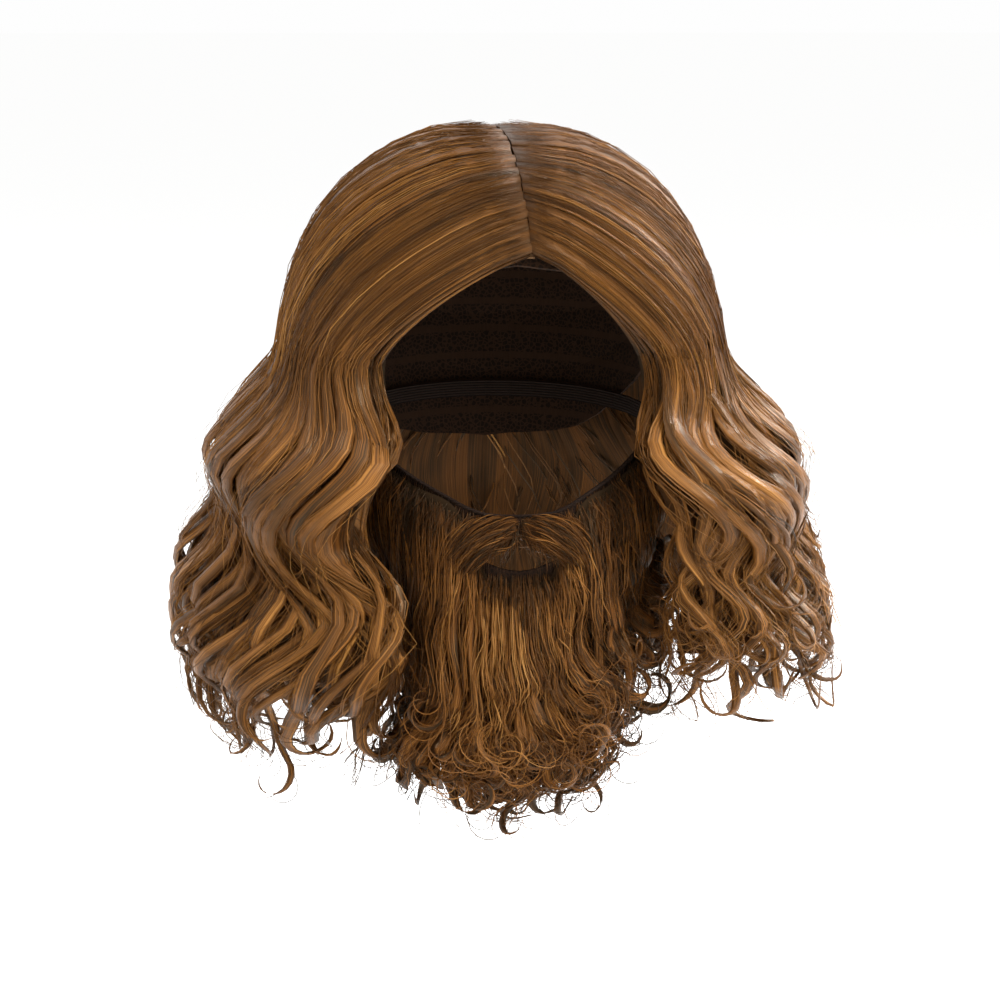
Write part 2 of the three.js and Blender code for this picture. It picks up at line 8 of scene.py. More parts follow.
import bmesh
import bpy
import numpy as np
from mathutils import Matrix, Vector


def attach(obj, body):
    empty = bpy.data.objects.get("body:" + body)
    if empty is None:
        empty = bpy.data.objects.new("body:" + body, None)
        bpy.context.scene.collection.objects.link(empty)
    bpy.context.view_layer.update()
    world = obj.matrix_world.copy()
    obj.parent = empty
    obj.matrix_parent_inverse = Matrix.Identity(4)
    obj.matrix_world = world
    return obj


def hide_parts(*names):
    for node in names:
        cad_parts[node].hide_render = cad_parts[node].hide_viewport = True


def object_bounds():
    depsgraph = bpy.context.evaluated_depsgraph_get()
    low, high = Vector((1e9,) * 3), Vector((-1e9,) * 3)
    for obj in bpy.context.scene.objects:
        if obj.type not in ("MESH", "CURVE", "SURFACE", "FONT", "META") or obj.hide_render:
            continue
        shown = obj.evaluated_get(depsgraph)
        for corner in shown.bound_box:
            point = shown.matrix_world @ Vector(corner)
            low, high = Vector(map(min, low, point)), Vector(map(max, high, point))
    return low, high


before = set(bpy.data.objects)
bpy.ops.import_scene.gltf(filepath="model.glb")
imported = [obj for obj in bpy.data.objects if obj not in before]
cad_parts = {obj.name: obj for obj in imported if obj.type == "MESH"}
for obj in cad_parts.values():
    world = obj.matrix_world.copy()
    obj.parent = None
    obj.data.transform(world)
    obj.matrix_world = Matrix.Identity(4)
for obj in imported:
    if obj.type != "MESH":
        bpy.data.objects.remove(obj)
CAD_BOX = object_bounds()
METRE = 0.001

# The head that the set fits
HEAD_HALF_WIDTH = 76
HEAD_FRONT = 95
HEAD_BACK = 97
WIDEST_DROP = 88
DOME_POWER = 2.3

# The wig's sizes
CAP_THICKNESS = 1.6
UNDER_HAIR = 3.2
PARTING_WIDTH = 3.2
PARTING_FRONT = 61
PARTING_BACK = -26
PARTING_SLANT = 6
CLEARANCE = 0.4
HAIR_DROP = 300
HAIR_HALF_WIDTH = 156
LOCK_THICKNESS = 41
WAVE_LENGTH = 98
WAVE_WIDTH = 10
WAVE_DEPTH = 6
LOCKS_A_SIDE = 8
CROWN_SHARE = 0.4

# The beard's sizes
BASE_THICKNESS = 1.5
UNDER_BEARD = 2.5
BEARD_DROP = 290
BEARD_HALF_WIDTH = 70
BEARD_FRONT = 136
BEARD_LOCK_THICKNESS = 27
BEARD_WAVE_LENGTH = 58
BEARD_WAVE_WIDTH = 3.5
BEARD_WAVE_DEPTH = 3
MOUTH_DROP = 168.5
LIP_HEIGHT = 16.5
LIP_BAND = 9
MOUSTACHE_WIDTH = 18
MOUSTACHE_THICKNESS = 12
MOUSTACHE_LEAN = 1 / 60

# The forms that the hair follows, as tables of columns

HEAD_ROWS = {
    "drop": [1.0, 1.25, 1.5, 1.75, 1.95, 2.2, 2.45],
    "side": [1.0, 0.98, 0.94, 0.89, 0.83, 0.74, 0.6],
    "front": [1.0, 0.985, 0.98, 1.03, 1.05, 1.03, 0.93],
    "back": [1.0, 0.98, 0.94, 0.9, 0.87, 0.85, 0.84],
}
FALL_ROWS = {
    "fall": [0, 0.05, 0.12, 0.23, 0.36, 0.5, 0.65, 0.79, 1],
    "side": [0, 0.1, 0.31, 0.58, 0.75, 0.92, 1.05, 0.99, 0.71],
    "front": [0, 0.05, 0.15, 0.31, 0.44, 0.39, 0.26, 0.09, -0.13],
    "back": [0, 0.01, 0.03, 0.08, 0.12, 0.21, 0.3, 0.25, 0.03],
}
LOCK_ROWS = {
    "share": [0, 0.06, 0.16, 0.27, 0.4, 0.52, 0.64, 0.84, 0.94, 1],
    "width": [1, 1, 1, 1, 1, 1, 1, 1, 0.92, 0.6],
    "thickness": [0.2, 0.3, 0.35, 0.47, 0.67, 0.8, 0.94, 1, 0.82, 0.42],
    "lift": [0, 0, 0, 0, 0, 0, 0, 0, 0.1, 0.3],
    "loose": [0, 0, 0, 0, 0, 0.65, 0.85, 0.85, 0.9, 1],
}
RIGHT_LINES = {
    "place": [0, 1, 2, 3, 4, 5, 6, 7, 8],
    "tilt": [61, 49, 37, 25, 12, 0, -11, -21, -29],
    "level": [46, 58, 70, 84, 100, 118, 138, 159, 180],
    "middle": [31, 46, 61, 78, 97, 117, 138, 159, 180],
    "tip": [33, 50, 64, 79, 97, 117, 138, 159, 180],
    "drop": [0.95, 0.95, 0.94, 0.91, 0.9, 0.92, 0.96, 0.99, 1],
    "body": [0.5, 0.92, 1, 1, 1, 1, 1, 1, 1],
    "phase": [150, 175, 215, 235, 270, 290, 320, 350, 360],
    "wave": [1.2, 1.2, 1, 1, 1, 1, 1, 0.7, 0],
}
LEFT_LINES = {
    "place": [0, 1, 2, 3, 4, 5, 6, 7, 8],
    "tilt": [61, 49, 37, 25, 12, 0, -11, -21, -29],
    "level": [45, 57, 70, 84, 100, 118, 138, 159, 180],
    "middle": [37, 51, 65, 80, 98, 117, 138, 159, 180],
    "tip": [40, 54, 67, 81, 98, 117, 138, 159, 180],
    "drop": [0.86, 0.87, 0.86, 0.86, 0.88, 0.91, 0.95, 0.98, 1],
    "body": [0.5, 0.92, 1, 1, 1, 1, 1, 1, 1],
    "phase": [100, 130, 165, 190, 230, 265, 310, 345, 360],
    "wave": [1, 1.2, 1.1, 1, 1, 1, 1, 0.7, 0],
}
HANG_SIDE = 0.72
HANG_FRONT = 0.79
HANG_START = 0.655
HANG_END = 0.78
BEARD_ROWS = {
    "share": [0, 0.14, 0.45, 0.75, 0.91, 1],
    "width": [1, 1, 1, 1, 0.95, 0.66],
    "thickness": [0.14, 0.32, 0.64, 1, 0.88, 0.46],
    "lift": [0, 0, 0, 0, 0.06, 0.27],
    "loose": [0, 0, 0.3, 1, 1.1, 1.2],
}
BEARD_LINES = {
    "place": [0, 1, 2, 3, 4, 5, 6, 7, 8, 9, 10, 11],
    "angle": [-76, -58, -40, -23, -13, -4.5, 4.5, 13, 23, 40, 58, 76],
    "root": [0.694, 0.777, 0.843, 0.89, 1.068, 1.08, 1.08, 1.068, 0.89, 0.843, 0.777, 0.694],
    "tip": [-74, -61, -48, -34, -20, -6, 8, 22, 36, 50, 62, 74],
    "drop": [0.78, 0.88, 0.96, 1, 1, 0.99, 0.98, 0.96, 0.93, 0.88, 0.8, 0.73],
    "body": [0.4, 0.62, 0.8, 1, 1, 1, 1, 1, 1, 0.8, 0.62, 0.4],
    "phase": [0, 40, 90, 150, 190, 250, 300, 350, 400, 450, 500, 540],
}
BEARD_LOCK_NAMES = [
    "cheek_lock_right_3",
    "cheek_lock_right_2",
    "cheek_lock_right_1",
    "chin_lock_1",
    "chin_lock_2",
    "chin_lock_3",
    "chin_lock_4",
    "chin_lock_5",
    "cheek_lock_left_1",
    "cheek_lock_left_2",
    "cheek_lock_left_3",
]
MOUSTACHE_ROWS = {
    "share": [0, 0.25, 0.5, 0.75, 1],
    "angle": [1.2, 9, 18, 27, 34],
    "drop": [0.947, 0.95, 0.979, 1.047, 1.151],
    "half": [0.36, 0.42, 0.5, 0.5, 0.2],
    "thickness": [0.58, 0.83, 1, 0.92, 0.5],
}


def column(table, key, name, place):
    """A table's column at places along another, with a smooth curve through the rows."""
    keys = np.array(table[key], float)
    values = np.array(table[name], float)
    at = np.clip(place, keys[0], keys[-1])
    last = len(keys) - 1
    i = np.clip(np.searchsorted(keys, at, side="right") - 1, 0, last - 1)
    before = np.maximum(i - 1, 0)
    after = np.minimum(i + 2, last)
    step = keys[i + 1] - keys[i]
    slope_a = (values[i + 1] - values[before]) / (keys[i + 1] - keys[before]) * step
    slope_b = (values[after] - values[i]) / (keys[after] - keys[i]) * step
    t = (at - keys[i]) / step
    return (
        values[i] * (2 * t**3 - 3 * t**2 + 1)
        + slope_a * (t**3 - 2 * t**2 + t)
        + values[i + 1] * (3 * t**2 - 2 * t**3)
        + slope_b * (t**3 - t**2)
    )


def mix(a, b, share):
    return a + (b - a) * share


def ease(share):
    """A smooth step from 0 to 1."""
    t = np.clip(share, 0, 1)
    return t * t * (3 - 2 * t)


def points(x, y, z):
    return np.stack(np.broadcast_arrays(x, y, z), axis=-1)


def unit(vectors):
    return vectors / np.maximum(np.linalg.norm(vectors, axis=-1, keepdims=True), 1e-9)


# The head and the sheets of hair over it

def over_dome(direction, height):
    """Points at heights over the head's dome, in directions from the middle of its widest level."""
    x, y, z = direction[..., 0], direction[..., 1], direction[..., 2]
    flat = np.maximum(np.hypot(x, y), 1e-9)
    share = np.minimum(flat, 1) ** (2 / DOME_POWER) / flat
    front = np.where(y < 0, HEAD_FRONT, HEAD_BACK)
    up = np.maximum(z, 0) ** (2 / DOME_POWER)
    return points(
        (HEAD_HALF_WIDTH + height) * x * share,
        (front + height) * y * share,
        (WIDEST_DROP + height) * up - WIDEST_DROP,
    )


def over_head(angle, drop, height):
    """Points at heights over the head, at angles round it and drops down it."""
    across, ahead = np.sin(np.radians(angle)), -np.cos(np.radians(angle))
    up = np.clip(1 - drop / WIDEST_DROP, 0, 1) ** (DOME_POWER / 2)
    flat = np.sqrt(1 - up * up)
    dome = over_dome(points(across * flat, ahead * flat, up), height)
    place = drop / WIDEST_DROP
    front = HEAD_FRONT * column(HEAD_ROWS, "drop", "front", place)
    back = HEAD_BACK * column(HEAD_ROWS, "drop", "back", place)
    side = HEAD_HALF_WIDTH * column(HEAD_ROWS, "drop", "side", place)
    below = points((side + height) * across, (np.where(ahead < 0, front, back) + height) * ahead, -drop)
    return np.where((drop < WIDEST_DROP)[..., None], dome, below)


def parting_aside(tilt):
    share = (tilt - PARTING_BACK) / (PARTING_FRONT - PARTING_BACK)
    return PARTING_SLANT * mix(-1, 1, share)


def crown_point(line, side, down, height):
    """Over the crown a strand turns from the parting to its angle at the head's widest level."""
    tilt, level = np.radians(line("tilt")), np.radians(line("level"))
    root = points(0 * tilt, -np.sin(tilt), np.cos(tilt))
    foot = points(side * np.sin(level), -np.cos(level), 0 * level)
    angle = np.arccos(np.clip((root * foot).sum(-1), -1, 1))
    from_root = (np.sin((1 - down) * angle) / np.sin(angle))[..., None]
    from_foot = (np.sin(down * angle) / np.sin(angle))[..., None]
    at = over_dome(root * from_root + foot * from_foot, UNDER_HAIR + height)
    beside = side * (PARTING_WIDTH / 2 + CLEARANCE)
    at[..., 0] += (parting_aside(line("tilt")) + beside) * (1 - down) ** 2
    return at


def fall_point(line, side, fall, height, loose):
    """From the widest level a strand falls, turns to its angles half way down and at the tip, and waves."""
    drop = mix(WIDEST_DROP, line("drop") * HAIR_DROP, fall)
    level, tip = line("level"), line("tip")
    bend = 2 * line("middle") - (level + tip) / 2
    degrees = mix(mix(level, bend, fall), mix(bend, tip, fall), fall)
    across, ahead = np.sin(np.radians(degrees)), -np.cos(np.radians(degrees))
    turn = np.radians(line("phase")) + 2 * math.pi * (drop - WIDEST_DROP) / WAVE_LENGTH
    place = (drop - WIDEST_DROP) / (HAIR_DROP - WIDEST_DROP)
    room = HAIR_HALF_WIDTH - LOCK_THICKNESS - HEAD_HALF_WIDTH - UNDER_HAIR
    out = height + WAVE_DEPTH * np.cos(turn) * loose

    def reach(head, name):
        return head + UNDER_HAIR + room * column(FALL_ROWS, "fall", name, place) + out

    aside = WAVE_WIDTH * line("wave") * np.sin(turn) * loose
    deep = np.where(ahead < 0, reach(HEAD_FRONT, "front"), reach(HEAD_BACK, "back"))
    x = reach(HEAD_HALF_WIDTH, "side") * across - aside * ahead
    return points(side * x, deep * ahead + aside * across, -drop)


def wig_sheet(lines, side):
    """The wig's hair on one side: a place counted in locks, a share of the way down and a height in it."""

    def sheet(place, share, height):
        place, share, height = np.broadcast_arrays(place, share, height)

        def line(name):
            return column(lines, "place", name, place)

        tall = height * line("body")
        fall = (share - CROWN_SHARE) / (1 - CROWN_SHARE)
        loose = column(LOCK_ROWS, "share", "loose", share)
        crown = crown_point(line, side, np.clip(share / CROWN_SHARE, 0, 1), tall)
        falling = fall_point(line, side, np.maximum(fall, 0), tall, loose)
        return np.where((share < CROWN_SHARE)[..., None], crown, falling)

    return sheet


def beard_sheet(place, share, height):
    """The beard's hair, from the right ear round the chin to the left ear."""
    place, share, height = np.broadcast_arrays(place, share, height)

    def line(name):
        return column(BEARD_LINES, "place", name, place)

    drop = mix(line("root") * MOUTH_DROP, line("drop") * BEARD_DROP, share)
    turn = np.radians(line("phase")) + 2 * math.pi * drop / BEARD_WAVE_LENGTH
    loose = column(BEARD_ROWS, "share", "loose", share)
    degrees = mix(line("angle"), line("tip"), ease(share))
    tall = height * line("body") + BEARD_WAVE_DEPTH * (1 + np.cos(turn)) * loose
    hang = ease((drop / BEARD_DROP - HANG_START) / (HANG_END - HANG_START))
    on_head = over_head(degrees, np.minimum(drop, HANG_END * BEARD_DROP), UNDER_BEARD + tall)
    across, ahead = np.sin(np.radians(degrees)), -np.cos(np.radians(degrees))
    free = points(
        (HANG_SIDE * BEARD_HALF_WIDTH + tall) * across,
        (HANG_FRONT * BEARD_FRONT + tall) * ahead,
        -drop,
    )
    at = on_head * (1 - hang)[..., None] + free * hang[..., None]
    aside = BEARD_WAVE_WIDTH * np.sin(turn) * loose
    return points(at[..., 0] - aside * ahead, at[..., 1] + aside * across, -drop)


def moustache_sheet(side):
    """One side of the moustache, by a place from its upper edge (-1) to its lower one (1)."""

    def sheet(place, share, height):
        place, share, height = np.broadcast_arrays(place, share, height)

        def row(name):
            return column(MOUSTACHE_ROWS, "share", name, share)

        down = place * row("half") * MOUSTACHE_WIDTH
        drop = row("drop") * MOUTH_DROP + down
        angle = row("angle") - down * row("angle") * MOUSTACHE_LEAN
        return over_head(side * angle, drop, UNDER_BEARD + height)

    return sheet


# Materials: a wire is a socket on which sums are written as Python sums

class Wire:
    def __init__(self, finish, socket):
        self.finish = finish
        self.socket = socket

    def maths(self, operation, *others):
        values = dict(enumerate((self,) + others))
        return self.finish.node("ShaderNodeMath", {"operation": operation}, values)

    def __add__(self, other):
        return self.maths("ADD", other)

    def __mul__(self, other):
        return self.maths("MULTIPLY", other)

    def __sub__(self, other):
        return self.maths("SUBTRACT", other)

    def __rsub__(self, other):
        return self.finish.node("ShaderNodeMath", {"operation": "SUBTRACT"}, {0: other, 1: self})

    __radd__ = __add__
    __rmul__ = __mul__


class Finish:
    """A material being made. The node method adds any node and gives back one of its outputs."""

    def __init__(self, name):
        self.material = bpy.data.materials.new(name)
        self.material.use_nodes = True
        self.tree = self.material.node_tree
        self.tree.nodes.clear()

    def node(self, kind, settings=None, values=None, out=0):
        made = self.tree.nodes.new(kind)
        for name, setting in (settings or {}).items():
            if name == "stops":
                self.set_stops(made.color_ramp, setting)
            else:
                setattr(made, name, setting)
        for name, value in (values or {}).items():
            if isinstance(value, Wire):
                self.tree.links.new(value.socket, made.inputs[name])
            else:
                made.inputs[name].default_value = value
        return Wire(self, made.outputs[out]) if made.outputs else made

    def set_stops(self, ramp, stops):
        while len(ramp.elements) < len(stops):
            ramp.elements.new(1)
        for element, (place, colour) in zip(ramp.elements, stops):
            element.position = place
            element.color = colour

    def noise(self, vector, scale=1.0, detail=2.0, rough=0.5):
        values = {"Vector": vector, "Scale": scale, "Detail": detail, "Roughness": rough}
        return self.node("ShaderNodeTexNoise", {"noise_dimensions": "2D"}, values)

    def ramp(self, factor, stops):
        return self.node("ShaderNodeValToRGB", {"stops": stops}, {"Fac": factor})

    def surface(self, values):
        shader = self.node("ShaderNodeBsdfPrincipled", None, values)
        self.node("ShaderNodeOutputMaterial", None, {"Surface": shader})
        return self.material


def tint(red, green, blue):
    """A colour given as it is seen on a screen, from 0 to 255."""

    def linear(value):
        share = value / 255
        return share / 12.92 if share <= 0.04045 else ((share + 0.055) / 1.055) ** 2.4

    return (linear(red), linear(green), linear(blue), 1)


# Every hair piece has one map. Its first part holds the smooth bodies and the next the ribbons of hair, and the
# rest is a row of strips from the darkest tone to the lightest, each shared by all strands of that tone.
MAP_NAME = "OFBake"
BODY_SHARE = 0.1
STRAND_SHARE = 0.4
STRIPS = 28
STRIP_GAP = 0.1
SHEEN_TINT = (1.0, 0.74, 0.45, 1)


def hair_finish(name, stops, root_shade, tip_painted_light, roughness):
    """Combed fibre: tone by strip and streaks along the hair, with painted shade on the bodies under the ribbons and
    on the roots, and a tone shift towards the tips that paints shade there when it is negative.
    """
    finish = Finish(name)
    on_map = finish.node("ShaderNodeUVMap", {"uv_map": MAP_NAME})
    across = finish.node("ShaderNodeSeparateXYZ", None, {0: on_map})
    along = finish.node("ShaderNodeSeparateXYZ", None, {0: on_map}, 1)
    body = across.maths("LESS_THAN", BODY_SHARE)
    strand = across.maths("GREATER_THAN", STRAND_SHARE)
    strip = ((across - STRAND_SHARE) * (STRIPS / (1 - STRAND_SHARE))).maths("FLOOR")

    def streaks(wide, long, detail):
        vector = finish.node("ShaderNodeCombineXYZ", None, {0: across * wide, 1: along * long})
        return finish.noise(vector, 1.0, detail)

    # Random tone in streaks across the map. The wide streaks also give some ribbons a darker tone, as painted shade
    # between the locks.
    uneven = streaks(460, 3, 2.0) * 1.1 + streaks(34, 6, 1.0) * 0.7 - 0.9
    combed = uneven * (along * 0.8 + 0.65) + 0.41
    # Painted shade: the smooth bodies under the ribbons are darkened.
    combed = combed - combed * body * 0.6
    tone = combed + (strip * (1 / (STRIPS - 1)) - combed) * strand
    drift = finish.noise(
        finish.node("ShaderNodeCombineXYZ", None, {0: strip * 3.7, 1: along * 9}), 1.0, 1.0
    )
    fine = streaks(1400, 5, 1.0)
    root = (1 - along).maths("POWER", 12.0)
    # Painted shade: the roots darken by root_shade, and the tip term darkens the tips when it is negative.
    tone = tone + (drift - 0.5) * 0.3 + (fine - 0.5) * 0.45 - root * root_shade + along * tip_painted_light
    bump = finish.node("ShaderNodeBump", None, {"Strength": 0.7, "Distance": 0.0004, "Height": fine})
    return finish.surface({
        "Base Color": finish.ramp(tone, stops),
        "Roughness": (1 - fine) * 0.16 + body * 0.55 + roughness,
        "Specular Tint": SHEEN_TINT,
        "Normal": bump,
        "IOR": 1.45,
    })


# Strands: edges with attributes, which a node tree turns into thin closed bundles of fibre

STRAND_SIDES = 3


def strand_tree():
    """Turns polylines into closed tubes by their own girth, with a strip of the map on each."""
    tree = bpy.data.node_groups.new("strands", "GeometryNodeTree")
    face = tree.interface
    face.new_socket("Geometry", in_out="INPUT", socket_type="NodeSocketGeometry")
    face.new_socket("Sides", in_out="INPUT", socket_type="NodeSocketInt")
    face.new_socket("Girth", in_out="INPUT", socket_type="NodeSocketFloat")
    face.new_socket("Finish", in_out="INPUT", socket_type="NodeSocketMaterial")
    face.new_socket("Geometry", in_out="OUTPUT", socket_type="NodeSocketGeometry")

    def add(kind, settings=None, **links):
        made = tree.nodes.new(kind)
        for name, setting in (settings or {}).items():
            setattr(made, name, setting)
        for name, value in links.items():
            socket = made.inputs[name.replace("_", " ")]
            if isinstance(value, bpy.types.NodeSocket):
                tree.links.new(value, socket)
            else:
                socket.default_value = value
        return made

    def read(name):
        node = add("GeometryNodeInputNamedAttribute", {"data_type": "FLOAT"}, Name=name)
        return node.outputs["Attribute"]

    def sum_of(operation, first, second):
        node = tree.nodes.new("ShaderNodeMath")
        node.operation = operation
        for socket, value in zip(node.inputs, (first, second)):
            if isinstance(value, bpy.types.NodeSocket):
                tree.links.new(value, socket)
            else:
                socket.default_value = value
        return node.outputs[0]

    start = tree.nodes.new("NodeGroupInput")
    end = tree.nodes.new("NodeGroupOutput")
    curve = add("GeometryNodeMeshToCurve", Mesh=start.outputs["Geometry"])
    girth = sum_of("MULTIPLY", read("girth"), start.outputs["Girth"])
    ring = add("GeometryNodeCurvePrimitiveCircle", Resolution=start.outputs["Sides"], Radius=1.0)
    factor = tree.nodes.new("GeometryNodeSplineParameter").outputs["Factor"]
    ring = add("GeometryNodeStoreNamedAttribute", {"data_type": "FLOAT", "domain": "POINT"},
               Geometry=ring.outputs[0], Name="round", Value=factor)
    tube = tree.nodes.new("GeometryNodeCurveToMesh")
    tree.links.new(curve.outputs[0], tube.inputs["Curve"])
    tree.links.new(ring.outputs[0], tube.inputs["Profile Curve"])
    tube.inputs["Fill Caps"].default_value = True
    tree.links.new(girth, tube.inputs["Scale"])
    wide = (1 - STRAND_SHARE) / STRIPS
    inside = sum_of("MULTIPLY", read("round"), wide * (1 - 2 * STRIP_GAP))
    left = sum_of("MULTIPLY_ADD", read("strip"), wide)
    tree.nodes[-1].inputs[2].default_value = STRAND_SHARE + wide * STRIP_GAP
    place = tree.nodes.new("ShaderNodeCombineXYZ")
    tree.links.new(sum_of("ADD", left, inside), place.inputs[0])
    tree.links.new(read("along"), place.inputs[1])
    on_map = add("GeometryNodeStoreNamedAttribute", {"data_type": "FLOAT2", "domain": "CORNER"},
                 Geometry=tube.outputs[0], Name=MAP_NAME, Value=place.outputs[0])
    smooth = add("GeometryNodeSetShadeSmooth", Geometry=on_map.outputs[0], Shade_Smooth=True)
    finish = add("GeometryNodeSetMaterial", Geometry=smooth.outputs[0], Material=start.outputs["Finish"])
    real = add("GeometryNodeRealizeInstances", Geometry=finish.outputs[0])
    tree.links.new(real.outputs[0], end.inputs[0])
    return tree


def set_input(modifier, name, value):
    for item in modifier.node_group.interface.items_tree:
        if item.in_out == "INPUT" and item.name == name:
            modifier[item.identifier] = value


def plain_mesh(piece, name):
    """The evaluated mesh of an object, with its modifiers gone."""
    found = piece.evaluated_get(bpy.context.evaluated_depsgraph_get())
    mesh = bpy.data.meshes.new_from_object(found)
    piece.modifiers.clear()
    old = piece.data
    piece.data = mesh
    bpy.data.meshes.remove(old)
    mesh.name = name
    return piece


def new_object(name, mesh):
    made = bpy.data.objects.new(name, mesh)
    bpy.context.collection.objects.link(made)
    return made


def strands_mesh(name, bundles, tree, material):
    """Tubes along bundles, each a dict of places (count, steps, 3), girth, strip and along arrays."""
    places, girths, strips, alongs, edges = [], [], [], [], []
    start = 0
    for bundle in bundles:
        count, steps = bundle["places"].shape[:2]
        places.append(bundle["places"].reshape(-1, 3))
        girths.append(np.broadcast_to(bundle["girth"], (count, steps)).ravel())
        strips.append(np.broadcast_to(bundle["strip"][:, None], (count, steps)).ravel())
        alongs.append(np.broadcast_to(bundle["along"], (count, steps)).ravel())
        index = start + np.arange(count * steps).reshape(count, steps)
        edges.append(np.stack([index[:, :-1].ravel(), index[:, 1:].ravel()], axis=1))
        start += count * steps
    places, edges = np.concatenate(places) * METRE, np.concatenate(edges)
    mesh = bpy.data.meshes.new(name)
    mesh.vertices.add(len(places))
    mesh.vertices.foreach_set("co", places.ravel())
    mesh.edges.add(len(edges))
    mesh.edges.foreach_set("vertices", edges.ravel())
    for key, lists in [("girth", girths), ("strip", strips), ("along", alongs)]:
        values = np.concatenate(lists)
        if key == "girth":
            values = values * METRE
        mesh.attributes.new(key, "FLOAT", "POINT").data.foreach_set("value", values.astype(np.float32))
    piece = new_object(name, mesh)
    modifier = piece.modifiers.new("strands", "NODES")
    modifier.node_group = tree
    set_input(modifier, "Sides", STRAND_SIDES)
    set_input(modifier, "Girth", 1.0)
    set_input(modifier, "Finish", material)
    plain_mesh(piece, name)
    for key in ("girth", "strip", "along", "round"):
        if key in piece.data.attributes:
            piece.data.attributes.remove(piece.data.attributes[key])
    return piece


def skins_mesh(name, skins, material):
    """Closed skins in one mesh, each over rings of points (rings, sides, 3) with places on the map (rings, sides, 2)."""
    places, flat, faces = [], [], []
    start = 0
    for rings, on_map in skins:
        count, sides = rings.shape[:2]
        index = start + np.arange(count * sides).reshape(count, sides)
        beside = np.roll(index, -1, axis=1)
        quads = np.stack([index[:-1], beside[:-1], beside[1:], index[1:]], axis=-1).reshape(-1, 4)
        faces += quads.tolist() + [index[0][::-1].tolist(), index[-1].tolist()]
        places.append(rings.reshape(-1, 3))
        flat.append(on_map.reshape(-1, 2))
        start += count * sides
    mesh = bpy.data.meshes.new(name)
    mesh.from_pydata((np.concatenate(places) * METRE).tolist(), [], faces)
    layer = mesh.uv_layers.new(name=MAP_NAME)
    corners = np.zeros(len(mesh.loops), dtype=np.int32)
    mesh.loops.foreach_get("vertex_index", corners)
    layer.data.foreach_set("uv", np.concatenate(flat)[corners].ravel())
    mesh.shade_smooth()
    mesh.materials.append(material)
    face_out(mesh)
    return new_object(name, mesh)


def face_out(mesh):
    """Turns a closed mesh's faces outwards."""
    form = bmesh.new()
    form.from_mesh(mesh)
    bmesh.ops.recalc_face_normals(form, faces=form.faces)
    form.to_mesh(mesh)
    form.free()


def joined(name, parts):
    """One piece of several, by the first one's name and data."""
    with bpy.context.temp_override(
        active_object=parts[0], selected_objects=parts, selected_editable_objects=parts
    ):
        bpy.ops.object.join()
    parts[0].name = name
    parts[0].data.name = name
    return parts[0]


# Locks

LEAST_HEIGHT = 0.6
STRAY_ROOM = np.array([-4, 12, 14])
STRAY_EASE = 8
RIBBON_COLUMNS = 7
RIBBON_UNDERSIDE = [5, 3, 1]
RIBBON_OVERLAP = 1.3
RIBBON_THICKNESS = 0.7
RIBBON_ON_MAP = 0.045


def taper(t, root, tip):
    """How a strand thins at its two ends."""
    return np.clip(t / root, 0.3, 1) * np.clip((1 - t) / tip, 0.16, 1)


def lock_path(sheet, lock, place, share, height, curl=None):
    """Points of a lock by an offset from its middle in locks, a share of its length and a share of its depth,
    with curl as displacements sideways and outwards. Gives the points and both directions."""
    rows, thickness = lock["rows"], lock["thickness"]
    width = column(rows, "share", "width", share)
    low = column(rows, "share", "lift", share) * thickness
    high = column(rows, "share", "thickness", share) * thickness
    at_place = lock["middle"] + place * width
    at_height = low + high * height
    at = sheet(at_place, share, at_height)
    step = 0.04
    aside = unit(sheet(at_place + step, share, at_height) - sheet(at_place - step, share, at_height))
    outward = unit(sheet(at_place, share, at_height + 1) - at)
    if curl:
        sideways, out = curl
        out = np.maximum(out, LEAST_HEIGHT - at_height)
        at = at + aside * sideways[..., None] + outward * out[..., None]
    return at, aside, outward


def hooked(at, aside, outward, lean, radius, turn, steps):
    """Strands with a spiral at the end, which turns in the plane of their run and of a leaning direction."""
    ahead = unit(at[:, -1] - at[:, -2])
    towards = aside[:, -1] * np.cos(lean)[:, None] + outward[:, -1] * np.sin(lean)[:, None]
    towards = unit(towards - ahead * (towards * ahead).sum(-1, keepdims=True))
    across = np.cross(ahead, towards)
    t = (np.arange(steps) + 1) / steps
    angle = turn[:, None] * t[None, :]
    pace = (radius * np.abs(turn) / steps)[:, None] * (1.15 - 0.5 * t)[None, :]
    run = (
        ahead[:, None, :] * np.cos(angle)[..., None]
        + towards[:, None, :] * np.sin(angle)[..., None]
        + across[:, None, :] * 0.22
    )
    spiral = at[:, -1:, :] + np.cumsum(run * pace[..., None], axis=1)
    return np.concatenate([at, spiral], axis=1)


def kept_in(at):
    """Loose hair eased back where it would stand too far outside the lengths of hair."""
    low = np.array(CAD_BOX[0]) / METRE - STRAY_ROOM
    high = np.array(CAD_BOX[1]) / METRE + STRAY_ROOM
    over = np.maximum(at - (high - STRAY_EASE), 0)
    under = np.maximum((low + STRAY_EASE) - at, 0)
    at = at - over + STRAY_EASE * np.tanh(over / STRAY_EASE)
    return at + under - STRAY_EASE * np.tanh(under / STRAY_EASE)


def clump_table(rng, layer, lock):
    """The centres that a layer's strands gather to, in a row across the lock."""
    count = round(layer["clumps"] * lock["wide"])
    left, right = layer["across"]
    spots = left + (right - left) * (np.arange(count) + 0.5) / count
    return {
        "place": spots + rng.uniform(-0.2, 0.2, count) / count,
        "height": rng.uniform(*layer["heights"], count),
        "start": rng.uniform(*layer["start"], count),
        "end": rng.uniform(*layer["end"], count),
        "phase": lock["phase"] + rng.normal(0, 0.6 + 1.5 * layer["start"][0], count),
        "long": rng.uniform(0.88, 1.14, count),
        "swing": rng.uniform(0.7, 1.2, count),
        "curl": rng.uniform(0.6, 1.25, count),
        "lean": rng.uniform(*layer["lean"], count),
        "radius": rng.uniform(*layer["radius"], count),
        "turn": rng.uniform(*layer["turn"], count) * rng.choice([-1, 1], count, p=[0.4, 0.6]),
        "tone": rng.normal(0, 0.13, count),
    }


